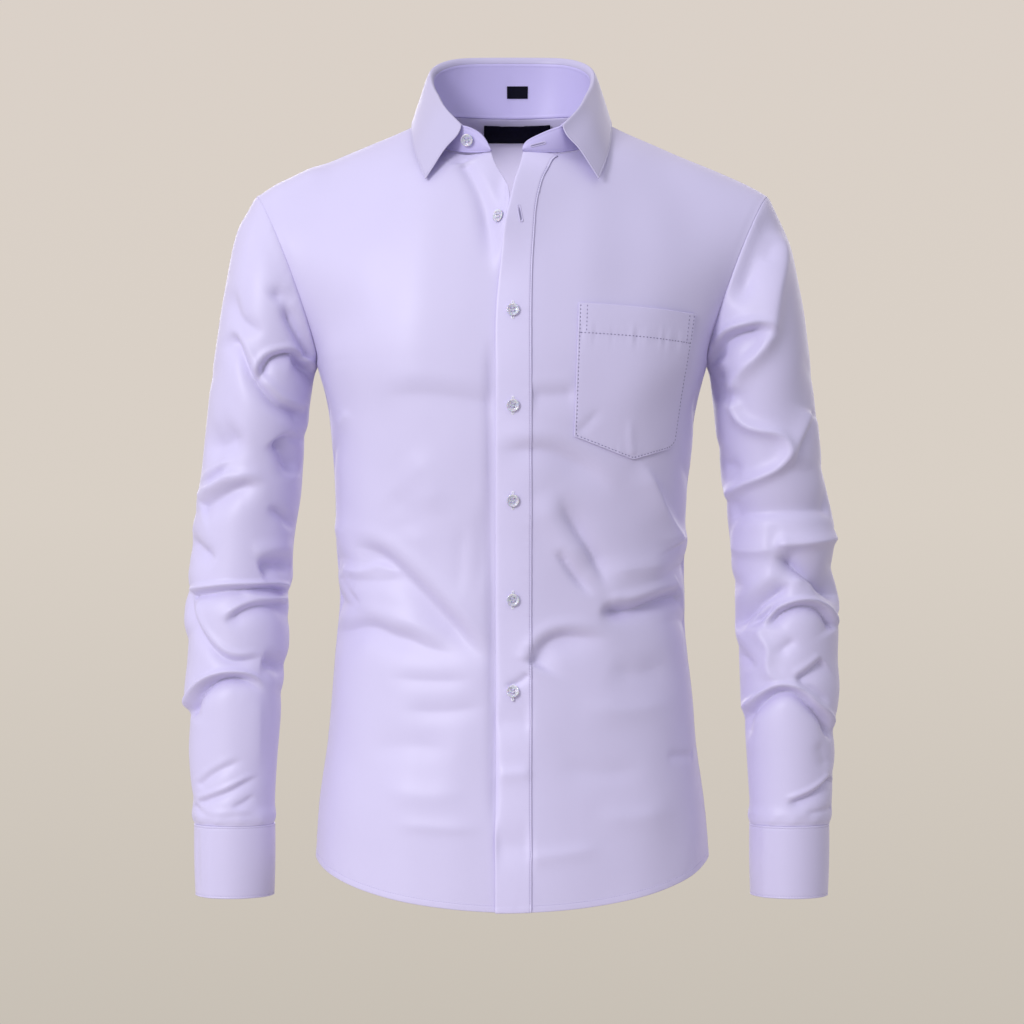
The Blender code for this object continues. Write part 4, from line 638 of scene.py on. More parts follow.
def stroke(x, z, height, left, right, path, power=1.6, lip=0.0, ends=(0.35, 0.35)):
    out = np.zeros(np.shape(x))
    p = smooth_path(path, 8)
    pad = 2.8 * max(left, right) * (1.7 if lip else 1.0)
    box = (x > p[:, 0].min() - pad) & (x < p[:, 0].max() + pad) & (z > p[:, 1].min() - pad) & (z < p[:, 1].max() + pad)
    if not box.any():
        return out
    xs, zs = x[box], z[box]
    best, dist, frac = np.full(xs.shape, 1e18), np.zeros(xs.shape), np.zeros(xs.shape)
    long = np.linalg.norm(np.diff(p, axis=0), axis=1)
    past = np.concatenate([[0.0], np.cumsum(long)])
    for i in range(len(p) - 1):
        a, d = p[i], p[i + 1] - p[i]
        t = np.clip(((xs - a[0]) * d[0] + (zs - a[1]) * d[1]) / (d @ d), 0, 1)
        dx, dz = xs - a[0] - t * d[0], zs - a[1] - t * d[1]
        d2 = dx * dx + dz * dz
        near = d2 < best
        sign = np.where(d[0] * dz - d[1] * dx > 0, 1.0, -1.0)
        dist = np.where(near, np.sqrt(d2) * sign, dist)
        frac = np.where(near, (past[i] + t * long[i]) / past[-1], frac)
        best = np.minimum(best, d2)
    w = np.where(dist > 0, left, right)
    v = np.exp(-(np.abs(dist) / w) ** power)
    if lip:
        v = v - lip * np.exp(-((dist - 2.1 * left) / (1.1 * left)) ** 2)
    fade = ramp(-0.001, ends[0], frac) * (1 - ramp(1 - ends[1], 1.001, frac))
    out[box] = height * v * fade
    return out


def strokes(table, x, z):
    h = np.zeros(np.shape(x))
    for row in table:
        h = h + stroke(x, z, *row)
    return h


RIPPLES = []
_rng = np.random.default_rng(11)
for _i in range(14):
    _w = 42.0 + 105.0 * _rng.random()
    _d = unit(_rng.normal(size=3) * np.array([1.0, 1.0, 0.8]))
    RIPPLES.append((_d * 2 * math.pi / _w, 2 * math.pi * _rng.random(), 0.16 + 0.0016 * _w))


def ripple(p):
    """Slight unevenness of the cloth all over."""
    h = np.zeros(p.shape[:-1])
    for k, phase, size in RIPPLES:
        h = h + size * np.sin(p @ k + phase)
    return 0.7 * h


def body_height(front, side, p, n, s):
    facing = -n[..., 1] if front else n[..., 1]
    h = (1.15 if front else 1.3) * strokes(TORSO if front else TORSO_BACK, p[..., 0], p[..., 2]) * ramp(-0.1, 0.55, facing)
    h = h + strokes(TORSO_SIDE[side], p[..., 1], p[..., 2]) * ramp(0.35, 0.8, side * n[..., 0])
    if side < 0:
        h = h + stroke(p[..., 0], p[..., 2], 4.0, 15, 15, [(-232, -68), (-212, -53), (-186, -42), (-162, -34)])
    return (h + ripple(p)) * (1 - ramp(0.95, 1.0, s))


def skin(front, side, s, q, out):
    p = body(front, side, s, q)
    n = body_normal(front, side, s, q)
    return p + n * (body_height(front, side, p, n, s) + out)[..., None]


# ---------------------------------------------------------------- shells
def vertex_normals(P, F):
    n = np.cross(P[F[:, 2]] - P[F[:, 0]], P[F[:, 3]] - P[F[:, 1]])
    N = np.zeros_like(P)
    for i in range(4):
        for ax in range(3):
            N[:, ax] += np.bincount(F[:, i], weights=n[:, ax], minlength=len(P))
    return unit(N)


def put_mesh(name, V, faces, mats, uv=None, smooth=True, index=None):
    me = bpy.data.meshes.new(name)
    me.from_pydata((np.asarray(V) * MM).tolist(), [], faces)
    for m in mats:
        me.materials.append(m)
    if uv is not None:
        layer = me.uv_layers.new(name="cut")
        layer.data.foreach_set("uv", np.asarray(uv, np.float32).ravel())
    if index is not None:
        me.polygons.foreach_set("material_index", np.asarray(index, np.int32))
    if smooth:
        me.shade_smooth()
    me.update()
    ob = bpy.data.objects.new(name, me)
    bpy.context.scene.collection.objects.link(ob)
    return ob


class Patch:
    """A grid of points of the finished outer surface, its normals and its distances from its edges."""

    def __init__(self, P, wrap=False):
        self.P, self.wrap = P, wrap
        rows, cols = P.shape[:2]
        self.rows, self.cols = rows, cols
        du = np.linalg.norm(np.diff(P, axis=1), axis=-1)
        dv = np.linalg.norm(np.diff(P, axis=0), axis=-1)
        self.u = np.concatenate([np.zeros((rows, 1)), np.cumsum(du, axis=1)], axis=1)
        self.v = np.concatenate([np.zeros((1, cols)), np.cumsum(dv, axis=0)], axis=0)
        a = np.gradient(P, axis=1)
        b = np.gradient(P, axis=0)
        if wrap:
            # the last column repeats the first
            ring = (P[:, 1] - P[:, -2]) / 2
            a[:, 0] = a[:, -1] = ring
        self.N = unit(np.cross(a, b))

    def flip_to(self, outward):
        if np.sum(self.N * outward) < 0:
            self.N = -self.N
        return self

    def at(self, r, c):
        r, c = np.clip(r, 0, self.rows - 1.000001), np.clip(c, 0, self.cols - 1.000001)
        i, j = r.astype(int), c.astype(int)
        fr, fc = (r - i)[:, None], (c - j)[:, None]
        out = []
        for A in (self.P, self.N):
            out.append((A[i, j] * (1 - fc) + A[i, j + 1] * fc) * (1 - fr) + (A[i + 1, j] * (1 - fc) + A[i + 1, j + 1] * fc) * fr)
        return out[0], unit(out[1])

    def line(self, edge, inset, lo=None, hi=None, step=1.0):
        """Points and normals of the line at a distance from an edge, from row or column lo to hi."""
        if edge in ("left", "right"):
            r = np.arange(0 if lo is None else lo, (self.rows - 1 if hi is None else hi) + 1e-6, step)
            u = self.u if edge == "left" else self.u[:, -1:] - self.u
            i = np.clip(r.astype(int), 0, self.rows - 1)
            c = np.array([np.interp(inset, u[k] if edge == "left" else u[k][::-1],
                                    np.arange(self.cols) if edge == "left" else np.arange(self.cols)[::-1]) for k in i])
        else:
            c = np.arange(0 if lo is None else lo, (self.cols - 1 if hi is None else hi) + 1e-6, step)
            v = self.v if edge == "low" else self.v[-1:, :] - self.v
            j = np.clip(c.astype(int), 0, self.cols - 1)
            r = np.array([np.interp(inset, v[:, k] if edge == "low" else v[:, k][::-1],
                                    np.arange(self.rows) if edge == "low" else np.arange(self.rows)[::-1]) for k in j])
        return self.at(r, c)


def grid_faces(rows, cols, wrap=False):
    """Quads over a grid, and for each corner its column (unwrapped) and row."""
    n = cols - 1 if wrap else cols
    r, c = np.meshgrid(np.arange(rows - 1), np.arange(cols - 1), indexing="ij")
    r, c = r.ravel(), c.ravel()
    corners = [(r, c), (r, c + 1), (r + 1, c + 1), (r + 1, c)]
    F = np.stack([a * n + (b % n if wrap else b) for a, b in corners], axis=1)
    at = np.stack([np.stack([a, b], axis=1) for a, b in corners], axis=1)
    return F, at


def shell(name, P, F, corner_uv, wall, outward, mat, bulge=0.4):
    """Gives the sheet of quads a wall inwards and a rounded rim. P is in mm."""
    N = vertex_normals(P, F)
    flip = np.sum(N * outward) < 0
    if flip:
        F, corner_uv, N = F[:, ::-1], corner_uv[:, ::-1], -N
    E = np.concatenate([F[:, [i, (i + 1) % 4]] for i in range(4)])
    EU = np.concatenate([corner_uv[:, [i, (i + 1) % 4]] for i in range(4)])
    ok = E[:, 0] != E[:, 1]
    E, EU = E[ok], EU[ok]
    key = np.sort(E, axis=1)
    _, first, count = np.unique(key[:, 0].astype(np.int64) * len(P) + key[:, 1], return_index=True, return_counts=True)
    rim, rim_uv = E[first[count == 1]], EU[first[count == 1]]
    n = len(P)
    wall = np.broadcast_to(np.asarray(wall, float), (n,))
    inner = P - N * wall[:, None]
    parts, faces, uvs = [P, inner], [F, F[:, ::-1] + n], [corner_uv, corner_uv[:, ::-1]]
    if len(rim):
        d = unit(P[rim[:, 1]] - P[rim[:, 0]])
        o = np.cross(d, N[rim[:, 0]] + N[rim[:, 1]])
        O = np.zeros_like(P)
        for ax in range(3):
            O[:, ax] += np.bincount(rim[:, 0], weights=o[:, ax], minlength=n) + np.bincount(rim[:, 1], weights=o[:, ax], minlength=n)
        O = unit(O)
        ids = np.unique(rim)
        where = np.zeros(n, int)
        where[ids] = 2 * n + np.arange(len(ids))
        parts.append(P[ids] - N[ids] * wall[ids, None] / 2 + O[ids] * bulge * wall[ids, None])
        a, b = rim[:, 0], rim[:, 1]
        faces += [np.stack([b, a, where[a], where[b]], axis=1), np.stack([where[b], where[a], a + n, b + n], axis=1)]
        uv4 = np.stack([rim_uv[:, 1], rim_uv[:, 0], rim_uv[:, 0], rim_uv[:, 1]], axis=1)
        uvs += [uv4, uv4]
    V = np.concatenate(parts)
    Q, U = np.concatenate(faces), np.concatenate(uvs)
    # quads with a repeated corner become triangles
    plain, loops = [], []
    same = np.array([Q[:, i] == Q[:, (i + 1) % 4] for i in range(4)]).T
    if same.any():
        for q, u, s in zip(Q.tolist(), U, same):
            keep = [i for i in range(4) if not s[i]]
            if len(keep) < 3:
                continue
            plain.append([q[i] for i in keep])
            loops.append(u[keep])
        U = np.concatenate(loops)
    else:
        plain = Q.tolist()
        U = U.reshape(-1, 2)
    return put_mesh(name, V, plain, [mat], U)


def cloth(name, patch, wall, mat, outward):
    """Shell of a single grid patch."""
    P = patch.P
    rows, cols = P.shape[:2]
    F, at = grid_faces(rows, cols, patch.wrap)
    uv = np.stack([patch.u[at[..., 0], at[..., 1]], patch.v[at[..., 0], at[..., 1]]], axis=-1) * MM
    pts_ = (P[:, :-1] if patch.wrap else P).reshape(-1, 3)
    out = (outward[:, :-1] if patch.wrap else outward).reshape(-1, 3)
    patch.flip_to(outward)
    return shell(name, pts_, F, uv, wall, out, mat)


def graded(length, step, low=(), high=()):
    """Fractions from 0 to 1: the given distances (mm) from each end, and even steps between."""
    a, b = (low[-1] if low else 0.0), length - (high[-1] if high else 0.0)
    n = max(1, int(round((b - a) / step)))
    mid = np.linspace(a, b, n + 1)
    out = sorted(set(np.round(list(low) + mid.tolist() + [length - d for d in high], 5)))
    return np.array(out) / length


FINE = (0.0, 0.45, 0.9, 1.35, 1.8, 2.4, 3.2, 4.4)


def push(patch, height):
    """The patch moved out along its normals by a height for each point."""
    return Patch(patch.P + patch.N * height[..., None], patch.wrap)


def groove(d, at, deep, half):
    return -deep * np.exp(-((d - at) / half) ** 2)


def pucker(t, d, size, reach, seed=0):
    """Small ripples along a stitched line: t runs along it, d is the distance from it."""
    g = np.random.default_rng(int(10 * seed) + 3)
    h = np.zeros(np.shape(t))
    for w in (5.5, 7.3, 9.7, 13.1, 19.0):
        h = h + np.sin(2 * math.pi * t / w + 2 * math.pi * g.random()) * (0.6 + 0.8 * g.random())
    slow = 0.55 + 0.45 * np.sin(2 * math.pi * t / 61.0 + 6.0 * g.random()) * np.sin(2 * math.pi * t / 37.0 + 6.0 * g.random())
    return size * 0.35 * h * slow * np.exp(-(d / reach) ** 2)


# ---------------------------------------------------------------- threads
THREADS = {}


def stitches(group, line, pitch=2.5, long=1.75, thick=0.2, lift=0.05, skip=0.0):
    """A row of stitches laid on the line's points, along their normals."""
    P, N = line
    d = np.concatenate([[0.0], np.cumsum(np.linalg.norm(np.diff(P, axis=0), axis=1))])
    keep = np.concatenate([[True], np.diff(d) > 1e-6])
    P, N, d = P[keep], N[keep], d[keep]
    if d[-1] < pitch:
        return
    n = int((d[-1] - 2 * skip) / pitch)
    mid = skip + (np.arange(n) + 0.5) * (d[-1] - 2 * skip) / n
    pos = lambda t: np.stack([np.interp(t, d, P[:, i]) for i in range(3)], axis=1)
    nor = unit(np.stack([np.interp(mid, d, N[:, i]) for i in range(3)], axis=1))
    a, b = pos(mid - long / 2), pos(mid + long / 2)
    t = unit(b - a)
    side = unit(np.cross(t, nor))
    nor = np.cross(side, t)
    c = (a + b) / 2 + nor * lift
    V = [c - t * long / 2 - nor * 0.14, c + t * long / 2 - nor * 0.14]
    for f in (-0.26, 0.26):
        m = c + t * long * f
        for x, y in ((1, 0), (0, 1), (-1, 0), (0, -1)):
            V.append(m + side * x * thick * 1.15 + nor * y * thick)
    V = np.stack(V, axis=1)          # n, 10, 3
    faces = []
    for i in range(4):
        j = (i + 1) % 4
        faces += [(0, 2 + j, 2 + i, 2 + i), (2 + i, 2 + j, 6 + j, 6 + i), (6 + i, 6 + j, 1, 1)]
    THREADS.setdefault(group, []).append((V, faces))


def finish_threads(group, name, mat):
    """All rows of stitches of one group as one object."""
    verts, faces, base = [], [], 0
    for V, fs in THREADS.get(group, []):
        n = len(V)
        verts.append(V.reshape(-1, 3))
        for f in fs:
            keep = list(dict.fromkeys(f))
            block = base + np.arange(n)[:, None] * 10 + np.array(keep)[None, :]
            faces += block.tolist()
        base += n * 10
    ob = put_mesh(name, np.concatenate(verts), faces, [mat], None)
    bm = bmesh.new()
    bm.from_mesh(ob.data)
    bmesh.ops.recalc_face_normals(bm, faces=list(bm.faces))
    bm.to_mesh(ob.data)
    bm.free()
    ob.data.shade_smooth()
    return ob


# ---------------------------------------------------------------- materials
def nodes_of(name):
    m = bpy.data.materials.new(name)
    m.use_nodes = True
    t = m.node_tree
    for n in list(t.nodes):
        t.nodes.remove(n)
    out = t.nodes.new("ShaderNodeOutputMaterial")
    b = t.nodes.new("ShaderNodeBsdfPrincipled")
    t.links.new(b.outputs[0], out.inputs[0])
    return m, t, b


def link(t, a, b):
    t.links.new(a, b)


def math_node(t, op, a, b=None):
    n = t.nodes.new("ShaderNodeMath")
    n.operation = op
    for i, v in enumerate((a, b)):
        if v is None:
            continue
        if isinstance(v, (int, float)):
            n.inputs[i].default_value = v
        else:
            t.links.new(v, n.inputs[i])
    return n.outputs[0]


def cotton(name, colour, turn=0.0, rough=0.44, weave=0.00042, depth=0.10):
    """Smooth fine plain-weave cotton: crossing threads, slubs and a slight unevenness of tone."""
    m, t, b = nodes_of(name)
    uv = t.nodes.new("ShaderNodeUVMap")
    uv.uv_map = "cut"
    place = t.nodes.new("ShaderNodeMapping")
    place.inputs["Rotation"].default_value[2] = turn
    link(t, uv.outputs[0], place.inputs[0])
    sep = t.nodes.new("ShaderNodeSeparateXYZ")
    link(t, place.outputs[0], sep.inputs[0])
    f = 2 * math.pi / weave
    su = math_node(t, "SINE", math_node(t, "MULTIPLY", sep.outputs[0], f))
    sv = math_node(t, "SINE", math_node(t, "MULTIPLY", sep.outputs[1], f))
    over = math_node(t, "MULTIPLY", su, sv)
    grain = t.nodes.new("ShaderNodeTexNoise")
    grain.inputs["Scale"].default_value = 900.0
    grain.inputs["Detail"].default_value = 2.0
    link(t, place.outputs[0], grain.inputs[0])
    slub = t.nodes.new("ShaderNodeTexNoise")
    slub.inputs["Scale"].default_value = 1.0
    slub.inputs["Detail"].default_value = 1.0
    stretch = t.nodes.new("ShaderNodeMapping")
    stretch.inputs["Scale"].default_value = (1100.0, 60.0, 1.0)
    link(t, place.outputs[0], stretch.inputs[0])
    link(t, stretch.outputs[0], slub.inputs[0])
    height = math_node(t, "ADD", math_node(t, "MULTIPLY", over, 0.5), math_node(t, "MULTIPLY", grain.outputs[0], 0.6))
    height = math_node(t, "ADD", height, math_node(t, "MULTIPLY", slub.outputs[0], 0.5))
    bump = t.nodes.new("ShaderNodeBump")
    bump.inputs["Strength"].default_value = depth
    bump.inputs["Distance"].default_value = 0.00008
    link(t, height, bump.inputs["Height"])
    link(t, bump.outputs[0], b.inputs["Normal"])
    # tone: broad and very slight
    geo = t.nodes.new("ShaderNodeTexCoord")
    broad = t.nodes.new("ShaderNodeTexNoise")
    broad.inputs["Scale"].default_value = 9.0
    broad.inputs["Detail"].default_value = 3.0
    link(t, geo.outputs["Object"], broad.inputs[0])
    mix = t.nodes.new("ShaderNodeMix")
    mix.data_type = "RGBA"
    link(t, broad.outputs[0], mix.inputs["Factor"])
    mix.inputs["A"].default_value = (*[c * 0.975 for c in colour], 1.0)
    mix.inputs["B"].default_value = (*[min(1.0, c * 1.025) for c in colour], 1.0)
    fine = t.nodes.new("ShaderNodeMix")
    fine.data_type = "RGBA"
    fine.blend_type = "MULTIPLY"
    fine.inputs["Factor"].default_value = 0.05
    link(t, mix.outputs["Result"], fine.inputs["A"])
    ramp_ = t.nodes.new("ShaderNodeValToRGB")
    ramp_.color_ramp.elements[0].color = (0.72, 0.70, 0.78, 1)
    ramp_.color_ramp.elements[1].color = (1, 1, 1, 1)
    link(t, slub.outputs[0], ramp_.inputs[0])
    link(t, ramp_.outputs[0], fine.inputs["B"])
    link(t, fine.outputs["Result"], b.inputs["Base Color"])
    b.inputs["Roughness"].default_value = rough
    b.inputs["Specular IOR Level"].default_value = 0.45
    b.inputs["Sheen Weight"].default_value = 0.15
    b.inputs["Sheen Roughness"].default_value = 0.45
    b.inputs["Sheen Tint"].default_value = (0.93, 0.90, 1.0, 1.0)
    return m


def thread_material(name, colour, rough=0.42):
    m, t, b = nodes_of(name)
    geo = t.nodes.new("ShaderNodeTexCoord")
    n = t.nodes.new("ShaderNodeTexNoise")
    n.inputs["Scale"].default_value = 2600.0
    link(t, geo.outputs["Object"], n.inputs[0])
    mix = t.nodes.new("ShaderNodeMix")
    mix.data_type = "RGBA"
    link(t, n.outputs[0], mix.inputs["Factor"])
    mix.inputs["A"].default_value = (*[c * 0.88 for c in colour], 1.0)
    mix.inputs["B"].default_value = (*[min(1.0, c * 1.1) for c in colour], 1.0)
    link(t, mix.outputs["Result"], b.inputs["Base Color"])
    bump = t.nodes.new("ShaderNodeBump")
    bump.inputs["Strength"].default_value = 0.25
    bump.inputs["Distance"].default_value = 0.00005
    link(t, n.outputs[0], bump.inputs["Height"])
    link(t, bump.outputs[0], b.inputs["Normal"])
    b.inputs["Roughness"].default_value = rough
    b.inputs["Sheen Weight"].default_value = 0.2
    return m


def pearl_material(name):
    """Clear pearly plastic: soft clouds of lilac and white."""
    m, t, b = nodes_of(name)
    geo = t.nodes.new("ShaderNodeTexCoord")
    n = t.nodes.new("ShaderNodeTexNoise")
    n.inputs["Scale"].default_value = 260.0
    n.inputs["Detail"].default_value = 3.0
    n.inputs["Distortion"].default_value = 1.2
    link(t, geo.outputs["Object"], n.inputs[0])
    r = t.nodes.new("ShaderNodeValToRGB")
    r.color_ramp.elements[0].position = 0.3
    r.color_ramp.elements[0].color = (0.66, 0.64, 0.86, 1)
    r.color_ramp.elements[1].position = 0.72
    r.color_ramp.elements[1].color = (0.98, 0.98, 1.0, 1)
    link(t, n.outputs[0], r.inputs[0])
    link(t, r.outputs[0], b.inputs["Base Color"])
    bump = t.nodes.new("ShaderNodeBump")
    bump.inputs["Strength"].default_value = 0.1
    bump.inputs["Distance"].default_value = 0.0001
    link(t, n.outputs[0], bump.inputs["Height"])
    link(t, bump.outputs[0], b.inputs["Normal"])
    b.inputs["Roughness"].default_value = 0.16
    b.inputs["Coat Weight"].default_value = 0.6
    b.inputs["Coat Roughness"].default_value = 0.06
    b.inputs["Transmission Weight"].default_value = 0.3
    b.inputs["Subsurface Weight"].default_value = 0.15
    b.inputs["Subsurface Scale"].default_value = 0.002
    return m


def satin_material(name):
    """Plain black woven satin with its close rows of threads."""
    m, t, b = nodes_of(name)
    uv = t.nodes.new("ShaderNodeUVMap")
    uv.uv_map = "cut"
    sep = t.nodes.new("ShaderNodeSeparateXYZ")
    link(t, uv.outputs[0], sep.inputs[0])
    s = math_node(t, "SINE", math_node(t, "MULTIPLY", sep.outputs[1], 2 * math.pi / 0.00045))
    s2 = math_node(t, "SINE", math_node(t, "MULTIPLY", sep.outputs[0], 2 * math.pi / 0.0011))
    h = math_node(t, "ADD", s, math_node(t, "MULTIPLY", s2, 0.5))
    bump = t.nodes.new("ShaderNodeBump")
    bump.inputs["Strength"].default_value = 0.3
    bump.inputs["Distance"].default_value = 0.00008
    link(t, h, bump.inputs["Height"])
    link(t, bump.outputs[0], b.inputs["Normal"])
    n = t.nodes.new("ShaderNodeTexNoise")
    n.inputs["Scale"].default_value = 400.0
    link(t, uv.outputs[0], n.inputs[0])
    mix = t.nodes.new("ShaderNodeMix")
    mix.data_type = "RGBA"
    link(t, n.outputs[0], mix.inputs["Factor"])
    mix.inputs["A"].default_value = (0.0015, 0.0012, 0.006, 1)
    mix.inputs["B"].default_value = (0.006, 0.005, 0.017, 1)
    link(t, mix.outputs["Result"], b.inputs["Base Color"])
    b.inputs["Roughness"].default_value = 0.5
    b.inputs["Specular IOR Level"].default_value = 0.07
    return m


LAVENDER = (0.668, 0.618, 0.862)
COTTON = cotton("cotton_body", LAVENDER)
COTTON_SLEEVE = cotton("cotton_sleeve", LAVENDER, turn=0.02)
COTTON_FIRM = cotton("cotton_interlined", LAVENDER, turn=0.01, rough=0.42, depth=0.08)
# the stand's cotton is the lavender made darker and bluer: painted shade for the stand lying under the collar's points
COTTON_STAND_SHADED = cotton("cotton_stand_painted_shade", (0.93 * LAVENDER[0], 0.91 * LAVENDER[1], 1.06 * LAVENDER[2]), turn=0.01, rough=0.42, depth=0.08)
# the placket's cotton is the lavender made lighter: partly for the strip's extra layers, partly painted light to lift
# its tone
COTTON_STRIP = cotton("cotton_strip", tuple(1.06 * c for c in LAVENDER), turn=0.01)
# the leaf's cotton is the lavender darkened: painted shade, to dim the leaf where it faces the key light
COTTON_LEAF_SHADED = cotton("cotton_leaf_painted_shade", tuple(0.86 * c for c in LAVENDER), turn=0.01, rough=0.42, depth=0.08)
THREAD = thread_material("thread_lavender", (0.56, 0.51, 0.76))
# dark thread for the placket's stitching: painted shade for the shadow line along the placket's stitched edge
THREAD_PAINTED_SHADE = thread_material("thread_shaded", (0.27, 0.24, 0.45))
# darker thread for the pocket's stitching: painted shade for the shadows where the stitches press into the cloth
THREAD_POCKET_SHADED = thread_material("thread_pocket_painted_shade", (0.19, 0.165, 0.33))
# light thread for the buttonholes under the fastened buttons: painted highlight for the glints at their ends
THREAD_PAINTED_HIGHLIGHT = thread_material("thread_painted_highlight", (0.84, 0.82, 0.95), 0.3)
THREAD_HOLE = thread_material("thread_buttonhole", (0.62, 0.57, 0.82))
# a dark sheet laid in the buttonhole slits: painted shade for the gap
SHADE = thread_material("slit_shade", (0.27, 0.24, 0.42), 0.8)
PEARL = pearl_material("pearl_button")
SATIN = satin_material("satin_black")
MADE = []


def made(ob, nodes=()):
    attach(ob, "root")
    if nodes:
        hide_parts(*nodes)
    MADE.append(ob)
    return ob


# ---------------------------------------------------------------- fronts, back and yoke
def spaced(low, high, n, height_at, marks):
    """n + 1 values from low to high, closer where the folds are: marks are (height, closeness)."""
    v = np.linspace(low, high, 3000)
    z = height_at(v)
    m = np.array(sorted(marks))
    close = np.interp(z, m[:, 0], m[:, 1])
    run = np.concatenate([[0.0], np.cumsum(np.abs(np.diff(z)) * (close[1:] + close[:-1]) / 2)])
    return np.interp(np.linspace(0, run[-1], n + 1), run, v)


HEM_Q = [0.0, 0.03, 0.065, 0.1, 0.135, 0.165, 0.19, 0.215, 0.245, 0.29, 0.35, 0.43]
LOW_Q = HEM_Q + list(spaced(0.53, Q_ARM, 243, lambda q: body(True, 1, np.full(q.shape, 0.35), q)[..., 2],
                            [(-720, 1.0), (-680, 0.75), (-540, 0.75), (-515, 1.55), (-375, 1.55), (-350, 0.9), (-100, 0.9)]))
FRONT_Q = np.array(LOW_Q + list(np.linspace(Q_ARM, Q_ARM + 5.0, 74)[1:]) + list(np.linspace(Q_ARM + 5.0, Q_ARM + 8.0, 34)[1:]))
BACK_Q = np.array(HEM_Q + list(np.linspace(0.53, Q_ARM, 128)) + list(np.linspace(Q_ARM, Q_ARM + 4.991, 44)[1:]))
YOKE_Q = np.array([Q_ARM + 5.009] + list(Q_ARM + 5.0 + np.array([0.03, 0.06, 0.1, 0.15])) + list(np.linspace(Q_ARM + 5.2, Q_ARM + 6.5, 26)) +
                  list(np.linspace(Q_ARM + 6.5, Q_ARM + 8.0, 22)[1:]))
SIDE_FINE = (0.0, 0.6, 1.2, 1.8, 2.5, 3.4, 4.6, 6.2)


def seam_gap(front, P, s, q):
    """The same small gaps at the side and shoulder seams as in the solids."""
    away = -1.0 if front else 1.0
    P = P.copy()
    P[..., 1] += away * (SEAM * ((s > 0.999) & (q <= Q_ARM + 0.01)) + RIDGE * (q > Q_ARM + 7.99))
    return P


def hem_height(v, u, seed):
    """The turned-up hem: thicker below its stitching, with slight roping."""
    rope = 0.22 * np.sin(2 * math.pi * (u + 0.9 * v) / 6.1 + seed) * np.exp(-((v - 2.6) / 2.2) ** 2)
    slow = 0.5 + 0.5 * np.sin(u / 23.0 + seed) * np.sin(u / 9.7 + 2 * seed)
    return 0.2 * (1 - ramp(4.0, 6.6, v)) + groove(v, 5.5, 0.07, 0.7) + rope * slow + pucker(u, np.abs(v - 5.5), 0.28, 5.5, seed)


def seam_height(d, t, seed, deep=0.34):
    """A felled seam: a groove on the seam line, and a flat band with its stitching beside it."""
    return groove(d, 0.0, deep, 0.8) + (0.08 + 0.4 * deep) * ramp(0.5, 1.4, d) * (1 - ramp(6.0, 7.4, d)) + pucker(t, np.abs(d - 6.0), 0.2, 5.0, seed)


def front_patch(side):
    q = FRONT_Q
    k = q - Q_ARM
    line = LEFT_FREE if side > 0 else RIGHT_FREE
    s0 = np.where(k >= 5.0, 0.0, s_at(side, np.minimum(q, Q_ARM + 5.0), line))
    cols = graded(222.0, 2.42, FINE, SIDE_FINE)
    S = s0[:, None] + (1 - s0[:, None]) * cols[None, :]
    S[:, -1] = 1.0
    Q = np.broadcast_to(q[:, None], S.shape)
    base = body(True, side, S, Q)
    out = lap(base[..., 0], base[..., 2]) if side > 0 else 0.0 * Q
    patch = Patch(skin(True, side, S, Q, out)).flip_to(np.array([0.0, -1.0, 0.0]))
    from_side = patch.u[:, -1:] - patch.u
    low = q[:, None] <= Q_ARM
    h = hem_height(patch.v, patch.u, 1.0 + side) * (patch.v < 12)
    h = h + np.where(low, seam_height(from_side, patch.v, 5 + side), groove(from_side, 0.0, 0.06, 0.8)) * (patch.v > 6)
    if side < 0:
        h = h + groove(patch.u, 0.0, 0.0, 1.0) - 0.2 * np.exp(-((patch.u - 25.0) / 0.7) ** 2) * low
    P = seam_gap(True, push(patch, h).P, S, Q)
    return Patch(P)


def back_patch():
    q = BACK_Q
    cols = graded(222.0, 3.7, (), SIDE_FINE)
    halves = []
    for side in (-1, 1):
        S = np.broadcast_to(cols[None, :], (len(q), len(cols))).copy()
        Q = np.broadcast_to(q[:, None], S.shape)
        P = seam_gap(False, skin(False, side, S, Q, 0.0 * Q), S, Q)
        halves.append(P)
    P = np.concatenate([halves[0][:, ::-1], halves[1][:, 1:]], axis=1)
    patch = Patch(P).flip_to(np.array([0.0, 1.0, 0.0]))
    d = np.minimum(patch.u, patch.u[:, -1:] - patch.u)
    h = hem_height(patch.v, patch.u, 3.0) * (patch.v < 12) + seam_height(d, patch.v, 9) * (patch.v > 6)
    top = patch.v[-1:] - patch.v
    h = h + groove(top, 0.0, 0.35, 0.9) * (top < 6) + pucker(patch.u, top, 0.25, 7.0, 4)
    done = push(patch, h * ramp(0.0, 0.4, d + 0.12))
    # the seam allowance goes on under the yoke, so that no light comes through the seam
    under = done.P[-1] + unit(done.P[-1] - done.P[-2]) * 2.2 - done.N[-1] * 0.9
    return Patch(np.concatenate([done.P, under[None]], axis=0)).flip_to(np.array([0.0, 1.0, 0.0]))


def yoke_parts():
    """Two halves, one on each side; they are joined below the neck."""
    cols = graded(210.0, 2.9, (), SIDE_FINE)
    out = []
    for side in (-1, 1):
        S = np.broadcast_to(cols[None, :], (len(YOKE_Q), len(cols))).copy()
        Q = np.broadcast_to(YOKE_Q[:, None], S.shape)
        patch = Patch(skin(False, side, S, Q, 0.0 * Q)).flip_to(np.array([0.0, 0.6, 0.8]))
        low = patch.v
        top = patch.v[-1:] - patch.v
        h = (0.25 * (1 - ramp(0.3, 1.0, 1.0 - low / 2.0)) + groove(low, 1.7, 0.2, 0.5)) * (low < 6) + groove(top, 1.7, 0.22, 0.6) * (top < 5)
        h = h + seam_height(patch.u[:, -1:] - patch.u, patch.v, 12 + side, 0.1) * 0.7
        P = seam_gap(False, push(patch, h).P, S, Q)
        out.append(Patch(P).flip_to(np.array([0.0, 0.6, 0.8])))
    return out


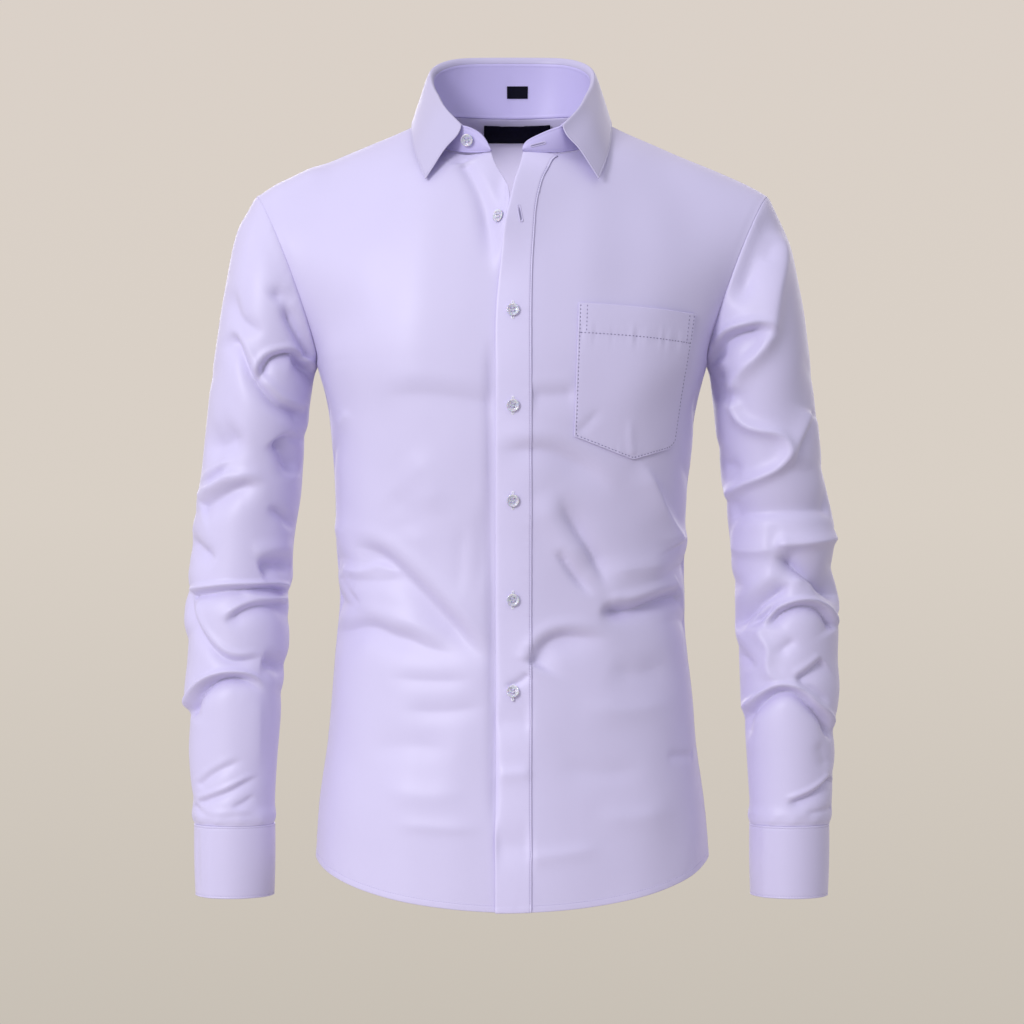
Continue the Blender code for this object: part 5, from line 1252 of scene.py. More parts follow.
FRONTS = {s: front_patch(s) for s in (-1, 1)}
for _s, _n in ((-1, "front_right"), (1, "front_left")):
    _p = FRONTS[_s]
    _o = np.broadcast_to(np.array([0.0, -1.0, 0.0]), _p.P.shape)
    _ob = cloth("cloth_" + _n, _p, 0.8, COTTON, _o)
    made(_ob, [_n])
    stitches("hems", _p.line("low", 5.5, step=1.0))
    stitches("seams", _p.line("right", 6.0, 12, int(np.argmin(np.abs(FRONT_Q - Q_ARM))) - 2))
BACK = back_patch()
BACK_CLOTH = made(cloth("cloth_back", BACK, 0.8, COTTON, np.broadcast_to(np.array([0.0, 1.0, 0.0]), BACK.P.shape)),
                  ["back"])
stitches("hems", BACK.line("low", 5.5))
YOKES = yoke_parts()


def make_yoke():
    a, b = YOKES
    rows, cols = a.P.shape[:2]
    F, at = grid_faces(rows, cols)
    P = np.concatenate([a.P.reshape(-1, 3), b.P.reshape(-1, 3)])
    uv = []
    for p, sgn in ((a, -1.0), (b, 1.0)):
        uv.append(np.stack([sgn * p.u[at[..., 0], at[..., 1]], p.v[at[..., 0], at[..., 1]]], axis=-1) * MM)
    n = rows * cols
    G = F[:, ::-1] + n
    # weld the middle column up to the neck
    join = np.arange(2 * n)
    last = int(np.argmin(np.abs(YOKE_Q - (Q_ARM + 6.5))))
    for r in range(last + 1):
        join[n + r * cols] = r * cols
    G = join[G]
    used = np.unique(np.concatenate([F.ravel(), G.ravel()]))
    back = np.zeros(2 * n, int)
    back[used] = np.arange(len(used))
    allF = back[np.concatenate([F, G])]
    alluv = np.concatenate([uv[0], uv[1][:, ::-1]])
    return shell("cloth_yoke", P[used], allF, alluv, 0.8, np.broadcast_to(np.array([0.0, 0.5, 0.85]), (len(used), 3)), COTTON)


made(make_yoke(), ["yoke"])
for _p in YOKES:
    stitches("seams", _p.line("low", 1.7))
    stitches("seams", _p.line("high", 1.7))


# ---------------------------------------------------------------- sleeves and cuffs
def sleeve_patch(side):
    half, rest = 78, 50
    k = np.concatenate([np.linspace(0.0, 8.0, half + 1), np.linspace(8.0, 0.0, rest + 1)[1:]])
    fr = np.concatenate([np.ones(half + 1, bool), np.zeros(rest, bool)])
    last = len(SLEEVE) - 1
    r = np.concatenate([[0.0, 0.02, 0.045, 0.075, 0.11, 0.16], spaced(0.24, last - 0.62, 309, lambda v: ring_point(np.ones(v.shape, bool), np.full(v.shape, 4.0), v)[..., 2],
                               [(-640, 1.5), (-585, 1.5), (-570, 0.6), (-548, 0.6), (-538, 1.6), (-375, 1.6), (-355, 1.1), (-260, 1.1), (-240, 1.4), (-165, 1.4), (-145, 0.7), (0, 0.7)]), last - np.array([0.53, 0.45, 0.37, 0.3, 0.23, 0.17, 0.12, 0.07, 0.03, 0.0])])
    K, R = np.meshgrid(k, r)
    FR = np.broadcast_to(fr[None, :], K.shape)

    def at(kk, rr):
        return ring_point(FR, kk, rr) * np.array([side, 1.0, 1.0])

    p = at(K, R)
    kk = np.clip(K, 0.02, 7.98)
    da = at(kk + 0.02, R) - at(kk - 0.02, R)
    dr = at(kk, np.minimum(R + 0.02, last)) - at(kk, np.maximum(R - 0.02, 0))
    n = unit(np.cross(da, dr))
    mid = (at(0 * K, R) + at(0 * K + 8.0, R)) / 2
    n = n * np.sign(np.sum(n * (p - mid), axis=-1, keepdims=True) + 1e-12)
    # on the fold between the two faces the normal points straight out
    x, y, z = p[..., 0], p[..., 1], p[..., 2]
    front = 1.15 * strokes(ARM_LEFT if side > 0 else ARM_RIGHT, x, z) * ramp(-0.06, 0.44, -n[..., 1])
    back = strokes(ARM_BACK_OF[side], np.abs(x), z) * ramp(0.05, 0.6, n[..., 1])
    outer = strokes(ARM_OUTER[side], y, z) * ramp(0.35, 0.85, side * n[..., 0])
    inner = strokes(ARM_INNER[side], y, z) * ramp(0.35, 0.85, -side * n[..., 0])
    h = front + 1.3 * back + 0.6 * (outer + inner) + ripple(p + np.array([37.0, 11.0, 23.0]))
    h = h * ramp(0.0, 1.3, R) * (1 - ramp(last - 1.1, last - 0.1, R))
    # fullness eased into the cuff
    d = np.clip((last - R) * 21.0, 0.0, None)
    ang = np.arctan2(n[..., 0] * side, -n[..., 1])
    gather = 0.5 + 0.5 * np.sin(7.0 * ang + 1.3 * side) * np.sin(4.0 * ang + 0.7)
    h = h + (0.9 + 0.9 * gather) * np.exp(-((d - 9.0) / 6.5) ** 2) * ramp(0.0, 4.0, d) - 0.3 * np.exp(-(d / 1.6) ** 2)
    h = h + 0.5 * np.sin(11.0 * ang + 2.0 * side) * np.exp(-((d - 3.0) / 5.0) ** 2) * ramp(0.0, 2.5, d) * gather
    # armhole seam: a groove, and a slight roll of the sleeve head over it
    t = K * 22.0
    top = np.minimum(R * np.where(K > 4, 24.0, 12.0), 60.0)
    h = h + 0.5 * np.exp(-((top - 6.0) / 4.5) ** 2) * ramp(1.5, 6.0, K) - 1.25 * np.exp(-(top / 0.75) ** 2) + pucker(t, top, 0.35, 9.0, 21 + side) * ramp(0.0, 1.5, top)
    p = p + n * h[..., None]
    tuck = 1.6 * np.exp(-(top / 0.45) ** 2)
    p = p - tuck[..., None] * np.array([0.94 * side, 0.0, -0.33])
    p[:, -1] = p[:, 0]
    return Patch(p, True), n, K, R


SLEEVES = {}
for _s, _n in ((-1, "right"), (1, "left")):
    _p, _nn, _K, _R = sleeve_patch(_s)
    SLEEVES[_s] = _p
    made(cloth("cloth_sleeve_" + _n, _p, 0.8, COTTON_SLEEVE, _nn), ["sleeve_" + _n])


def cuff_patch(side):
    rows = graded(CUFF_TOP - CUFF_BOTTOM, 3.4, FINE, FINE)
    last = 360.0 + 2 * CUFF_STEP
    far = np.concatenate([[0.0, 0.7, 1.4, 2.1, 2.8, 3.7, 5.0], np.arange(7.0, last - 1, 2.9), [last]])
    D, W = np.meshgrid(far, rows)
    deg = CUFF_END + D
    over = ramp(360.0 - 8.0, 360.0 + 4.0, D)
    inside = -(CUFF_WALL + 0.9) * over
    a = np.radians(deg)
    arc = D * math.pi / 180.0 * 37.8          # distance from the free end
    # the free end has a rounded bottom corner
    R = 11.0
    cut = np.where(arc < R, R - np.sqrt(np.maximum(R * R - (R - np.minimum(arc, R)) ** 2, 0.0)), 0.0)
    bottom = CUFF_BOTTOM + cut
    z = CUFF_TOP + (bottom - CUFF_TOP) * W
    # the band is a little fuller in its middle, and not perfectly round
    v = CUFF_TOP - z
    tall = CUFF_TOP - CUFF_BOTTOM
    full = 0.5 * np.sin(math.pi * np.clip(v / tall, 0, 1))
    wob = 0.5 * np.sin(2 * a + 0.6 * side) + 0.35 * np.sin(3 * a + 1.1) * (v / tall)
    facet = (31.0, 9.0, 0.9) if side < 0 else (-43.0, 9.0, 0.9)
    h = full + wob - 1.0 * v / tall + facet[2] * np.exp(-((deg - facet[0]) / facet[1]) ** 2) + facet[2] * np.exp(-((deg - 360.0 - facet[0]) / facet[1]) ** 2)
    low = bottom * 0 + (z - bottom)
    edge = np.minimum(np.minimum(v, low), arc + 0.0)
    h = h + groove(edge, 1.7, 0.26, 0.55) + 0.1 * np.exp(-((edge - 0.7) / 0.5) ** 2)
    h = h + pucker(arc, np.minimum(v, low), 0.16, 5.0, 31 + side)
    if side < 0:
        x = -(CUFF_MID[0] + CUFF_R[0] * np.sin(a))
        h = h - 0.9 * np.exp(-((x + 285.5) / 2.2) ** 2) * (np.cos(a) > 0) * ramp(2.0, 12.0, v) * (1 - ramp(tall - 16.0, tall - 3.0, v))
    rx, ry = CUFF_R[0] + inside + h, CUFF_R[1] + inside + h
    P = pts(side * (CUFF_MID[0] + rx * np.sin(a)), CUFF_MID[1] - ry * np.cos(a), z)
    out = pts(side * np.sin(a), -np.cos(a), 0 * a)
    return Patch(P), out


CUFFS = {}
for _s, _n in ((-1, "right"), (1, "left")):
    _p, _o = cuff_patch(_s)
    CUFFS[_s] = _p
    made(cloth("cloth_cuff_" + _n, _p, 1.5, COTTON_FIRM, _o), ["cuff_" + _n])
    stitches("cuffs", _p.line("low", 1.7, 2, _p.cols - 16))
    stitches("cuffs", _p.line("high", 1.7, 5, _p.cols - 16))
    stitches("cuffs", _p.line("left", 1.7, 3, _p.rows - 4))


# ---------------------------------------------------------------- collar
def stand_patch():
    right = graded(232.0, 2.7, (), FINE)[::-1] * -232.0
    left = graded(241.0, 2.7, (), FINE)[1:] * 241.0
    along = np.concatenate([right, left])
    w = graded(38.0, 2.0, FINE, FINE)
    A, W = np.meshgrid(along, w)
    P = np.zeros(A.shape + (3,))
    for s in (-1, 1):
        pick = (A < 0) if s < 0 else (A >= 0)
        P[pick] = stand_point(s, np.abs(A[pick]), W[pick])
    out = unit(P * np.array([1.0, 1.0, 0.0]))
    patch = Patch(P).flip_to(out)
    top, low = patch.v[-1:] - patch.v, patch.v
    ends = np.minimum(patch.u, patch.u[:, -1:] - patch.u)
    edge = np.minimum(np.minimum(top, low), ends)
    h = groove(edge, 1.6, 0.22, 0.5) + pucker(patch.u, np.minimum(low, top), 0.12, 4.0, 41)
    return push(patch, h * ramp(0.2, 0.9, edge)).flip_to(out), out


STAND, STAND_OUT = stand_patch()
made(cloth("cloth_stand", STAND, 1.7, COTTON_STAND_SHADED, STAND_OUT), ["collar_stand"])
stitches("collar", STAND.line("low", 1.6, 3, STAND.cols - 4))


def leaf_patch():
    half = graded(LEAF_END, 2.2, (), FINE)
    along = np.concatenate([-half[::-1] * LEAF_END, half[1:] * LEAF_END])
    keys = [0.0, 0.45, 1.0, 1.55, 2.35, 3.2, 4.0]
    K = np.zeros((len(keys), len(along), 3))
    for i, key in enumerate(keys):
        for s in (-1, 1):
            pick = (along < 0) if s < 0 else (along >= 0)
            K[i][pick] = leaf_point(s, np.abs(along[pick]), np.full(pick.sum(), key))
    away = unit(K[0] * np.array([1.0, 1.0, 0.0]))
    K[0] -= away * 1.75
    K[0][:, 2] -= 0.3
    K[1] -= away * 1.1
    K[2] -= away * 0.3
    rows = None
    out = []
    for j in range(len(along)):
        c = K[:, j]
        d = np.concatenate([[0.0], np.cumsum(np.linalg.norm(np.diff(c, axis=0), axis=1))])
        f = spline(d, c)
        if rows is None:
            fine_top = [0.0, 1.0, 2.0, 3.0, 4.0, 5.0, 6.0, 6.7, 7.4, 8.1, 8.8, 9.5, 10.3, 11.2, 12.4, 14.0]
            rows = graded(70.0, 2.1, fine_top, FINE)
        out.append(f(rows * d[-1]))
    P = np.stack(out, axis=1)
    flat = unit(P * np.array([1.0, 1.0, 0.0]))
    patch = Patch(P)
    # outward on the fall, inward on the part next to the stand
    ref = np.where((np.arange(len(rows)) > 14)[:, None, None], flat, 0.0)
    patch.flip_to(ref)
    edge = np.minimum(patch.v[-1:] - patch.v, np.minimum(patch.u, patch.u[:, -1:] - patch.u) + 100.0 * (rows < 0.16)[:, None])
    A = np.broadcast_to(along[None, :], patch.u.shape)
    t = np.clip((rows[:, None] - 0.2) / 0.8, 0, 1)
    h = groove(edge, 1.7, 0.24, 0.5) * (edge < 6) + 0.1 * np.exp(-((edge - 0.7) / 0.5) ** 2)
    h = h + t * (0.7 * np.sin(A / 31.0 + 0.8) + 0.4 * np.sin(A / 17.0 + 2.1)) * np.sin(math.pi * t * 0.8)
    h = h + pucker(A, patch.v[-1:] - patch.v, 0.12, 5.0, 51)
    return push(patch, h).flip_to(ref), ref, along, rows


LEAF, LEAF_REF, LEAF_ALONG, LEAF_ROWS_F = leaf_patch()
made(cloth("cloth_leaf", LEAF, 1.4, COTTON_LEAF_SHADED, LEAF_REF), ["collar_leaf"])
stitches("collar", LEAF.line("high", 1.7, 3, LEAF.cols - 4))
stitches("collar", LEAF.line("left", 1.7, 18, LEAF.rows - 5))
stitches("collar", LEAF.line("right", 1.7, 18, LEAF.rows - 5))


# ---------------------------------------------------------------- placket and pocket
def placket_patch():
    q = FRONT_Q[FRONT_Q <= Q_ARM + 5.95]
    k = q - Q_ARM
    s0 = np.where(k >= 5.0, 0.0, s_at(1, np.minimum(q, Q_ARM + 5.0), LEFT_FREE))
    s2 = np.where(k >= 5.95, 0.07, s_at(1, q, LEFT_STITCHED))
    s2 = s2 - 0.2 * (s2 - s0) * ramp(4.0, 5.6, k)
    cols = graded(31.0, 2.2, FINE, (0.0, 0.35, 0.7, 1.05, 1.4, 1.9, 2.6, 3.6))
    top = int(np.sum(k <= 5.5))
    q, s0, s2 = q[:top], s0[:top], s2[:top]
    S = s0[:, None] + (s2 - s0)[:, None] * cols[None, :]
    Q = np.broadcast_to(q[:, None], S.shape)
    base = body(True, 1, S, Q)
    patch = Patch(skin(True, 1, S, Q, lap(base[..., 0], base[..., 2]) + STRIP + 0.35)).flip_to(np.array([0.0, -1.0, 0.0]))
    d = patch.u[:, -1:] - patch.u
    h = groove(d, 1.0, 0.34, 0.6) + pucker(patch.v, d, 0.26, 6.0, 61) - 0.3 * np.exp(-(patch.u / 0.8) ** 2)
    h = h + pucker(patch.v, patch.u, 0.1, 5.0, 62) + hem_height(patch.v, patch.u, 2.0) * (patch.v < 12) * 0.6
    return push(patch, h).flip_to(np.array([0.0, -1.0, 0.0]))


PLACKET = placket_patch()
FORWARD = np.array([0.0, -1.0, 0.0])
made(cloth("cloth_placket", PLACKET, 1.2, COTTON_STRIP, np.broadcast_to(FORWARD, PLACKET.P.shape)), ["placket"])
stitches("placket", PLACKET.line("right", 1.1, 8, PLACKET.rows - 9), pitch=2.3, long=1.8, thick=0.26)


def pocket_patch():
    cols = graded(103.0, 2.1, FINE, FINE)
    rows = graded(122.0, 2.1, FINE, FINE)
    U, W = np.meshgrid(cols, rows)
    c = POCKET_AT(U)
    zb = np.interp(U, [0.0, 0.57, 0.94, 1.0], [-283.0, -303.0, -293.0, -287.0])
    x = c[..., 0] * (1 - W) + c[..., 2] * W + 1.5 * ramp(0.7, 1.0, U) * (1 - W) ** 2
    z = c[..., 1] * (1 - W) + zb * W + 1.7 * U * U * (1 - W) ** 2
    s, q = find(True, 1, x.ravel(), z.ravel())
    s, q = s.reshape(x.shape), q.reshape(x.shape)
    patch = Patch(skin(True, 1, s, q, lap(x, z) + STRIP + 0.55)).flip_to(FORWARD)
    left, right = patch.u, patch.u[:, -1:] - patch.u
    top, low = patch.v, patch.v[-1:] - patch.v
    edge = np.minimum(np.minimum(left, right), low)
    h = groove(edge, 1.6, 0.2, 0.55) + pucker(patch.v, np.minimum(left, right), 0.24, 5.0, 71) + pucker(patch.u, low, 0.34, 7.0, 72)
    # the top is turned in 26 mm: one layer more, a stitched line, small puckers under it
    h = h + 0.3 * (1 - ramp(25.6, 26.8, top)) + groove(top, 26.3, 0.12, 0.6)
    h = h + pucker(patch.u, np.abs(top - 26.3), 0.62, 9.0, 73) * ramp(10.0, 20.0, top)
    # it stands off the front a little at its open top
    stand = np.sin(math.pi * np.clip(U, 0, 1)) ** 0.8 * (1 - ramp(0.0, 34.0, top))
    h = h + 1.9 * stand * (0.6 + 0.5 * U)
    # slack in the patch itself
    h = h + 0.9 * np.exp(-((U - 0.5) / 0.3) ** 2) * np.exp(-((top - 70.0) / 34.0) ** 2)
    h = h + stroke(x, z, 1.1, 3, 4, [(106, -300), (104, -284), (105, -262)], 1.6, 0.0, (0.1, 0.5))
    h = h + stroke(x, z, -1.2, 4, 5, [(58, -280), (68, -270), (80, -256)], 1.6, 0.0, (0.1, 0.5))
    return push(patch, h).flip_to(FORWARD)


POCKET_CLOTH = pocket_patch()
made(cloth("cloth_pocket", POCKET_CLOTH, 0.8, COTTON, np.broadcast_to(FORWARD, POCKET_CLOTH.P.shape)), ["pocket"])
stitches("pocket", POCKET_CLOTH.line("left", 1.6, 1, POCKET_CLOTH.rows - 4), pitch=3.4, long=1.9, thick=0.36)
stitches("pocket", POCKET_CLOTH.line("right", 1.6, 1, POCKET_CLOTH.rows - 4), pitch=3.4, long=1.9, thick=0.36)
stitches("pocket", POCKET_CLOTH.line("high", 1.6, 3, POCKET_CLOTH.cols - 4), pitch=3.4, long=1.9, thick=0.36)
stitches("pocket", POCKET_CLOTH.line("low", 26.3, 3, POCKET_CLOTH.cols - 4), pitch=3.4, long=1.9, thick=0.36)
_rw = int(np.argmin(np.abs(POCKET_CLOTH.v[:, 10] - 26.3)))
stitches("pocket", POCKET_CLOTH.line("left", 7.5, 1, _rw), pitch=3.4, long=1.9, thick=0.32)
stitches("pocket", POCKET_CLOTH.line("right", 7.5, 1, _rw), pitch=3.4, long=1.9, thick=0.32)


# ---------------------------------------------------------------- labels
def neck_label_patch():
    x = np.linspace(-27.0, 37.0, 41)
    z = np.linspace(15.0, -0.2, 13)
    X, Z = np.meshgrid(x, z)
    P = np.zeros(X.shape + (3,))
    for s in (-1, 1):
        pick = (X < 0) if s < 0 else (X >= 0)
        ss, q = find(False, s, X[pick], Z[pick])
        p = body(False, s, ss, q)
        n = body_normal(False, s, ss, q)
        P[pick] = p - n * (CLOTH + 3.5)
    patch = Patch(P).flip_to(np.array([0.0, 1.0, 0.0]))
    e = np.minimum(patch.u, patch.u[:, -1:] - patch.u)
    h = 0.25 * np.sin(patch.u / 9.0 + 1.0) * np.sin(math.pi * patch.v / patch.v[-1:]) + 0.2 * (1 - ramp(2.0, 3.0, e))
    return push(patch, h)


LABEL = neck_label_patch()
made(cloth("satin_label_neck", LABEL, 0.5, SATIN, np.broadcast_to(np.array([0.0, 1.0, 0.0]), LABEL.P.shape)), ["label_neck"])


def size_label_patch():
    x = np.linspace(-4.4, 14.2, 21)
    w = np.linspace(0.37, 0.59, 15)
    X, W = np.meshgrid(x, w)
    P = np.zeros(X.shape + (3,))
    for s in (-1, 1):
        pick = (X < 0) if s < 0 else (X >= 0)
        p = stand_point(s, np.abs(X[pick]), W[pick])
        P[pick] = p - unit(p * np.array([1.0, 1.0, 0.0])) * (STAND_WALL + 0.25)
    return Patch(P)


LABEL2 = size_label_patch()
made(cloth("satin_label_size", LABEL2, 0.5, SATIN, np.broadcast_to(np.array([0.0, 1.0, 0.0]), LABEL2.P.shape)), ["label_size"])


# ---------------------------------------------------------------- buttons and buttonholes
def button_mesh():
    """Four-hole button, turned, face towards +Z, back on z = 0."""
    prof = [(0.0, 0.44), (0.40, 0.45), (0.56, 0.50), (0.64, 0.62), (0.70, 0.82), (0.77, 0.95), (0.85, 1.0), (0.93, 0.97),
            (0.98, 0.86), (1.0, 0.66), (0.99, 0.44), (0.94, 0.26), (0.82, 0.10), (0.66, 0.0), (0.0, 0.0)]
    steps = 56
    me = bpy.data.meshes.new("pearl_button_mesh")
    bm = bmesh.new()
    rings = []
    for r, h in prof:
        if r == 0.0:
            rings.append([bm.verts.new((0, 0, h * BUTTON_T * MM))])
        else:
            rings.append([bm.verts.new((r * BUTTON_R * MM * math.cos(2 * math.pi * i / steps), r * BUTTON_R * MM * math.sin(2 * math.pi * i / steps),
                                        h * BUTTON_T * MM)) for i in range(steps)])
    for a, b in zip(rings, rings[1:]):
        for i in range(steps):
            j = (i + 1) % steps
            if len(a) == 1:
                bm.faces.new((a[0], b[i], b[j]))
            elif len(b) == 1:
                bm.faces.new((a[j], a[i], b[0]))
            else:
                bm.faces.new((a[i], b[i], b[j], a[j]))
    bmesh.ops.recalc_face_normals(bm, faces=list(bm.faces))
    bm.to_mesh(me)
    bm.free()
    ob = bpy.data.objects.new("button_turned", me)
    bpy.context.scene.collection.objects.link(ob)
    tool = bmesh.new()
    for i in range(4):
        a = math.radians(45 + 90 * i)
        at = Matrix.Translation(Vector((math.cos(a), math.sin(a), 0)) * 2.0 * MM)
        bmesh.ops.create_cone(tool, cap_ends=True, segments=16, radius1=0.8 * MM, radius2=0.8 * MM, depth=9 * MM, matrix=at)
    cm = bpy.data.meshes.new("holes")
    tool.to_mesh(cm)
    tool.free()
    co = bpy.data.objects.new("holes", cm)
    bpy.context.scene.collection.objects.link(co)
    bo = ob.modifiers.new("holes", "BOOLEAN")
    bo.operation, bo.object, bo.solver = "DIFFERENCE", co, "EXACT"
    bpy.context.view_layer.update()
    done = bpy.data.meshes.new_from_object(ob.evaluated_get(bpy.context.evaluated_depsgraph_get()))
    bpy.data.objects.remove(ob, do_unlink=True)
    bpy.data.objects.remove(co, do_unlink=True)
    done.materials.clear()
    done.materials.append(PEARL)
    done.shade_smooth()
    done.set_sharp_from_angle(angle=math.radians(38))
    return done


def button_frame(at, normal, spin=0.0):
    n = Vector(normal).normalized()
    x = Vector((0, 0, 1)).cross(n).normalized()
    y = n.cross(x)
    return Matrix.Translation(Vector(at) * MM) @ Matrix((x, y, n)).transposed().to_4x4() @ Matrix.Rotation(spin, 4, "Z")


def button_threads(name, m):
    """Two bars of thread over the four holes, and the shank under them."""
    V, F = [], []
    for lane in (-1, 1):
        for strand in (-0.28, 0.0, 0.28):
            ring = []
            for i in range(9):
                t = i / 8.0
                x = (-1 + 2 * t) * 1.75
                zz = (0.45 * BUTTON_T + 0.42 * math.sin(math.pi * min(max((t - 0.02) / 0.96, 0), 1)) ** 0.5 - (0.9 if i in (0, 8) else 0.0))
                y = lane * 1.42 + strand
                for kx, kz in ((1, 0), (0.7, 0.7), (0, 1), (-0.7, 0.7), (-1, 0), (0, -1)):
                    V.append((x, y + kx * 0.17, zz + kz * 0.17))
            base = len(V) - 54
            for i in range(8):
                for j in range(6):
                    a, b = base + i * 6 + j, base + i * 6 + (j + 1) % 6
                    F.append((a, b, b + 6, a + 6))
    # shank
    base = len(V)
    for i, zz in enumerate((0.25, -1.7)):
        for j in range(10):
            a = 2 * math.pi * j / 10
            V.append((1.3 * math.cos(a), 1.3 * math.sin(a), zz))
    for j in range(10):
        k = (j + 1) % 10
        F.append((base + j, base + 10 + j, base + 10 + k, base + k))
    ob = put_mesh(name, V, F, [THREAD_HOLE])
    bm = bmesh.new()
    bm.from_mesh(ob.data)
    bmesh.ops.recalc_face_normals(bm, faces=list(bm.faces))
    bm.to_mesh(ob.data)
    bm.free()
    ob.data.shade_smooth()
    ob.matrix_world = m
    return ob


def surface_frame(front, side, x, z, out):
    s, q = find(front, side, np.array([x]), np.array([z]))
    p = skin(front, side, s, q, np.full(1, out))[0]
    a = skin(front, side, s + 0.02, q, np.full(1, out))[0] - p
    b = skin(front, side, s, q + 0.2, np.full(1, out))[0] - p
    n = np.cross(a, b)
    n = n / np.linalg.norm(n)
    if n[1] * (-1 if front else 1) < 0:
        n = -n
    return p, n


BUTTON = button_mesh()


def place_button(node, at, normal, spin=0.0):
    m = button_frame(at, normal, spin)
    ob = bpy.data.objects.new("pearl_" + node, BUTTON)
    bpy.context.scene.collection.objects.link(ob)
    ob.matrix_world = m
    made(ob, [node])
    th = button_threads("thread_" + node, m)
    made(th)


def buttonhole(name, centre, along, normal, long, wide=2.7, gape=0.25, lift=0.0, thread=None):
    """A worked buttonhole: a satin-stitched ring round its slit, rounded at each end."""
    c, t, n = np.array(centre, float), unit(np.array(along, float)), unit(np.array(normal, float))
    t = unit(t - n * (t @ n))
    b = np.cross(n, t)
    half, r = long / 2 - wide / 2, wide / 2 - 0.45
    path = []
    steps = 46
    for i in range(steps):
        path.append((-half + 2 * half * i / steps, -r))
    for i in range(10):
        a = -math.pi / 2 + math.pi * i / 10
        path.append((half + r * math.cos(a), r * math.sin(a)))
    for i in range(steps):
        path.append((half - 2 * half * i / steps, r))
    for i in range(10):
        a = math.pi / 2 + math.pi * i / 10
        path.append((-half + r * math.cos(a), r * math.sin(a)))
    path = np.array(path)
    d = unit(np.roll(path, -1, axis=0) - np.roll(path, 1, axis=0))
    side = np.stack([d[:, 1], -d[:, 0]], axis=1)
    V, F = [], []
    prof = [(-0.62, -0.3), (-0.55, 0.15), (-0.25, 0.38), (0.25, 0.38), (0.55, 0.15), (0.62, -0.3)]
    m = len(path)
    for i in range(m):
        rib = 1.0 + 0.16 * (1 if i % 2 else -1)
        for w, hgt in prof:
            q = path[i] + side[i] * w
            V.append(c + t * q[0] + b * q[1] + n * (hgt * rib + lift))
    for i in range(m):
        j = (i + 1) % m
        for k in range(len(prof) - 1):
            F.append((i * 6 + k, i * 6 + k + 1, j * 6 + k + 1, j * 6 + k))
    ob = put_mesh(name, np.array(V), F, [thread or THREAD_HOLE])
    bm = bmesh.new()
    bm.from_mesh(ob.data)
    bmesh.ops.recalc_face_normals(bm, faces=list(bm.faces))
    if sum(f.normal.dot(Vector(n)) * f.calc_area() for f in bm.faces) < 0:
        bmesh.ops.reverse_faces(bm, faces=list(bm.faces))
    bm.to_mesh(ob.data)
    bm.free()
    ob.data.shade_smooth()
    made(ob)
    # the slit: a dark sheet laid in it, painted shade for the gap of the open slit
    V, F = [], []
    for i in range(21):
        f = i / 20.0
        w = gape * math.sin(math.pi * f) ** 0.5 + 0.02
        x = (-1 + 2 * f) * half
        for y, h in ((-w, 0.03), (0.0, 0.06), (w, 0.03)):
            V.append(c + t * x + b * y + n * (h + lift))
    for i in range(20):
        for k in range(2):
            F.append((i * 3 + k, i * 3 + k + 1, i * 3 + k + 4, i * 3 + k + 3))
    sl = put_mesh(name + "_slit_painted_shade", np.array(V), F, [SHADE])
    made(sl)


for _i, _z in enumerate(BUTTONS_FASTENED, 1):
    _p, _n = surface_frame(True, 1, 0.8, _z, LAP_LIFT + STRIP + 0.35 + 0.45)
    place_button("button_front_%d" % _i, _p, _n, math.radians((7, -12, 4, 15, -6)[_i - 1]))
    buttonhole("buttonhole_%d" % _i, _p - _n * 0.45, (0.02, 0.0, 1.0), _n, 16.5, 2.4, 0.25, 0.0, THREAD_PAINTED_HIGHLIGHT)
_p, _n = surface_frame(True, -1, BUTTON_OPEN[0], BUTTON_OPEN[1], 0.45)
place_button("button_front_0", _p, _n, 0.3)
_p, _n = surface_frame(True, 1, 6.9, -88.1, lap(np.array(6.9), np.array(-88.1)) + STRIP + 0.35)
buttonhole("buttonhole_0", _p, (-0.12, 0.0, 1.0), _n, 16.5, 3.6, 0.85)
_c = [stand_point(-1, np.array([LEAF_END + a]), np.array([w]))[0] for a, w in ((9.0, 0.5), (3.0, 0.5), (15.0, 0.5), (9.0, 0.1), (9.0, 0.9))]
_n = unit(np.cross(_c[2] - _c[1], _c[4] - _c[3]))
_n = _n if _n[1] < 0 else -_n
place_button("button_collar", _c[0] + _n * 1.1, _n, 0.1)
_c = [stand_point(1, np.array([LEAF_END + a]), np.array([w]))[0] for a, w in ((22.0, 0.52), (16.0, 0.52), (28.0, 0.52), (22.0, 0.1), (22.0, 0.9))]
_n = unit(np.cross(_c[2] - _c[1], _c[4] - _c[3]))
_n = _n if _n[1] < 0 else -_n
buttonhole("buttonhole_stand", _c[0] + _n * 0.15, _c[2] - _c[1], _n, 14.5, 2.8, 0.4)
for _s, _name in ((-1, "right"), (1, "left")):
    _a = math.radians(CUFF_END + 1.5 * CUFF_STEP)
    _n = np.array([_s * math.sin(_a), -math.cos(_a), 0.0])
    _at = np.array([_s * CUFF_MID[0], CUFF_MID[1], (CUFF_TOP + CUFF_BOTTOM) / 2])
    _at = _at + np.array([_s * CUFF_R[0] * math.sin(_a), -CUFF_R[1] * math.cos(_a), 0.0]) + _n * 0.9
    place_button("button_cuff_" + _name, _at, _n, 0.2)
    buttonhole("buttonhole_cuff_" + _name, _at - _n * 0.35, (-_n[1], _n[0], 0.0), _n, 16.0)

for _g in list(THREADS):
    made(finish_threads(_g, "stitching_" + _g, {"pocket": THREAD_POCKET_SHADED, "placket": THREAD_PAINTED_SHADE}.get(_g, THREAD)))


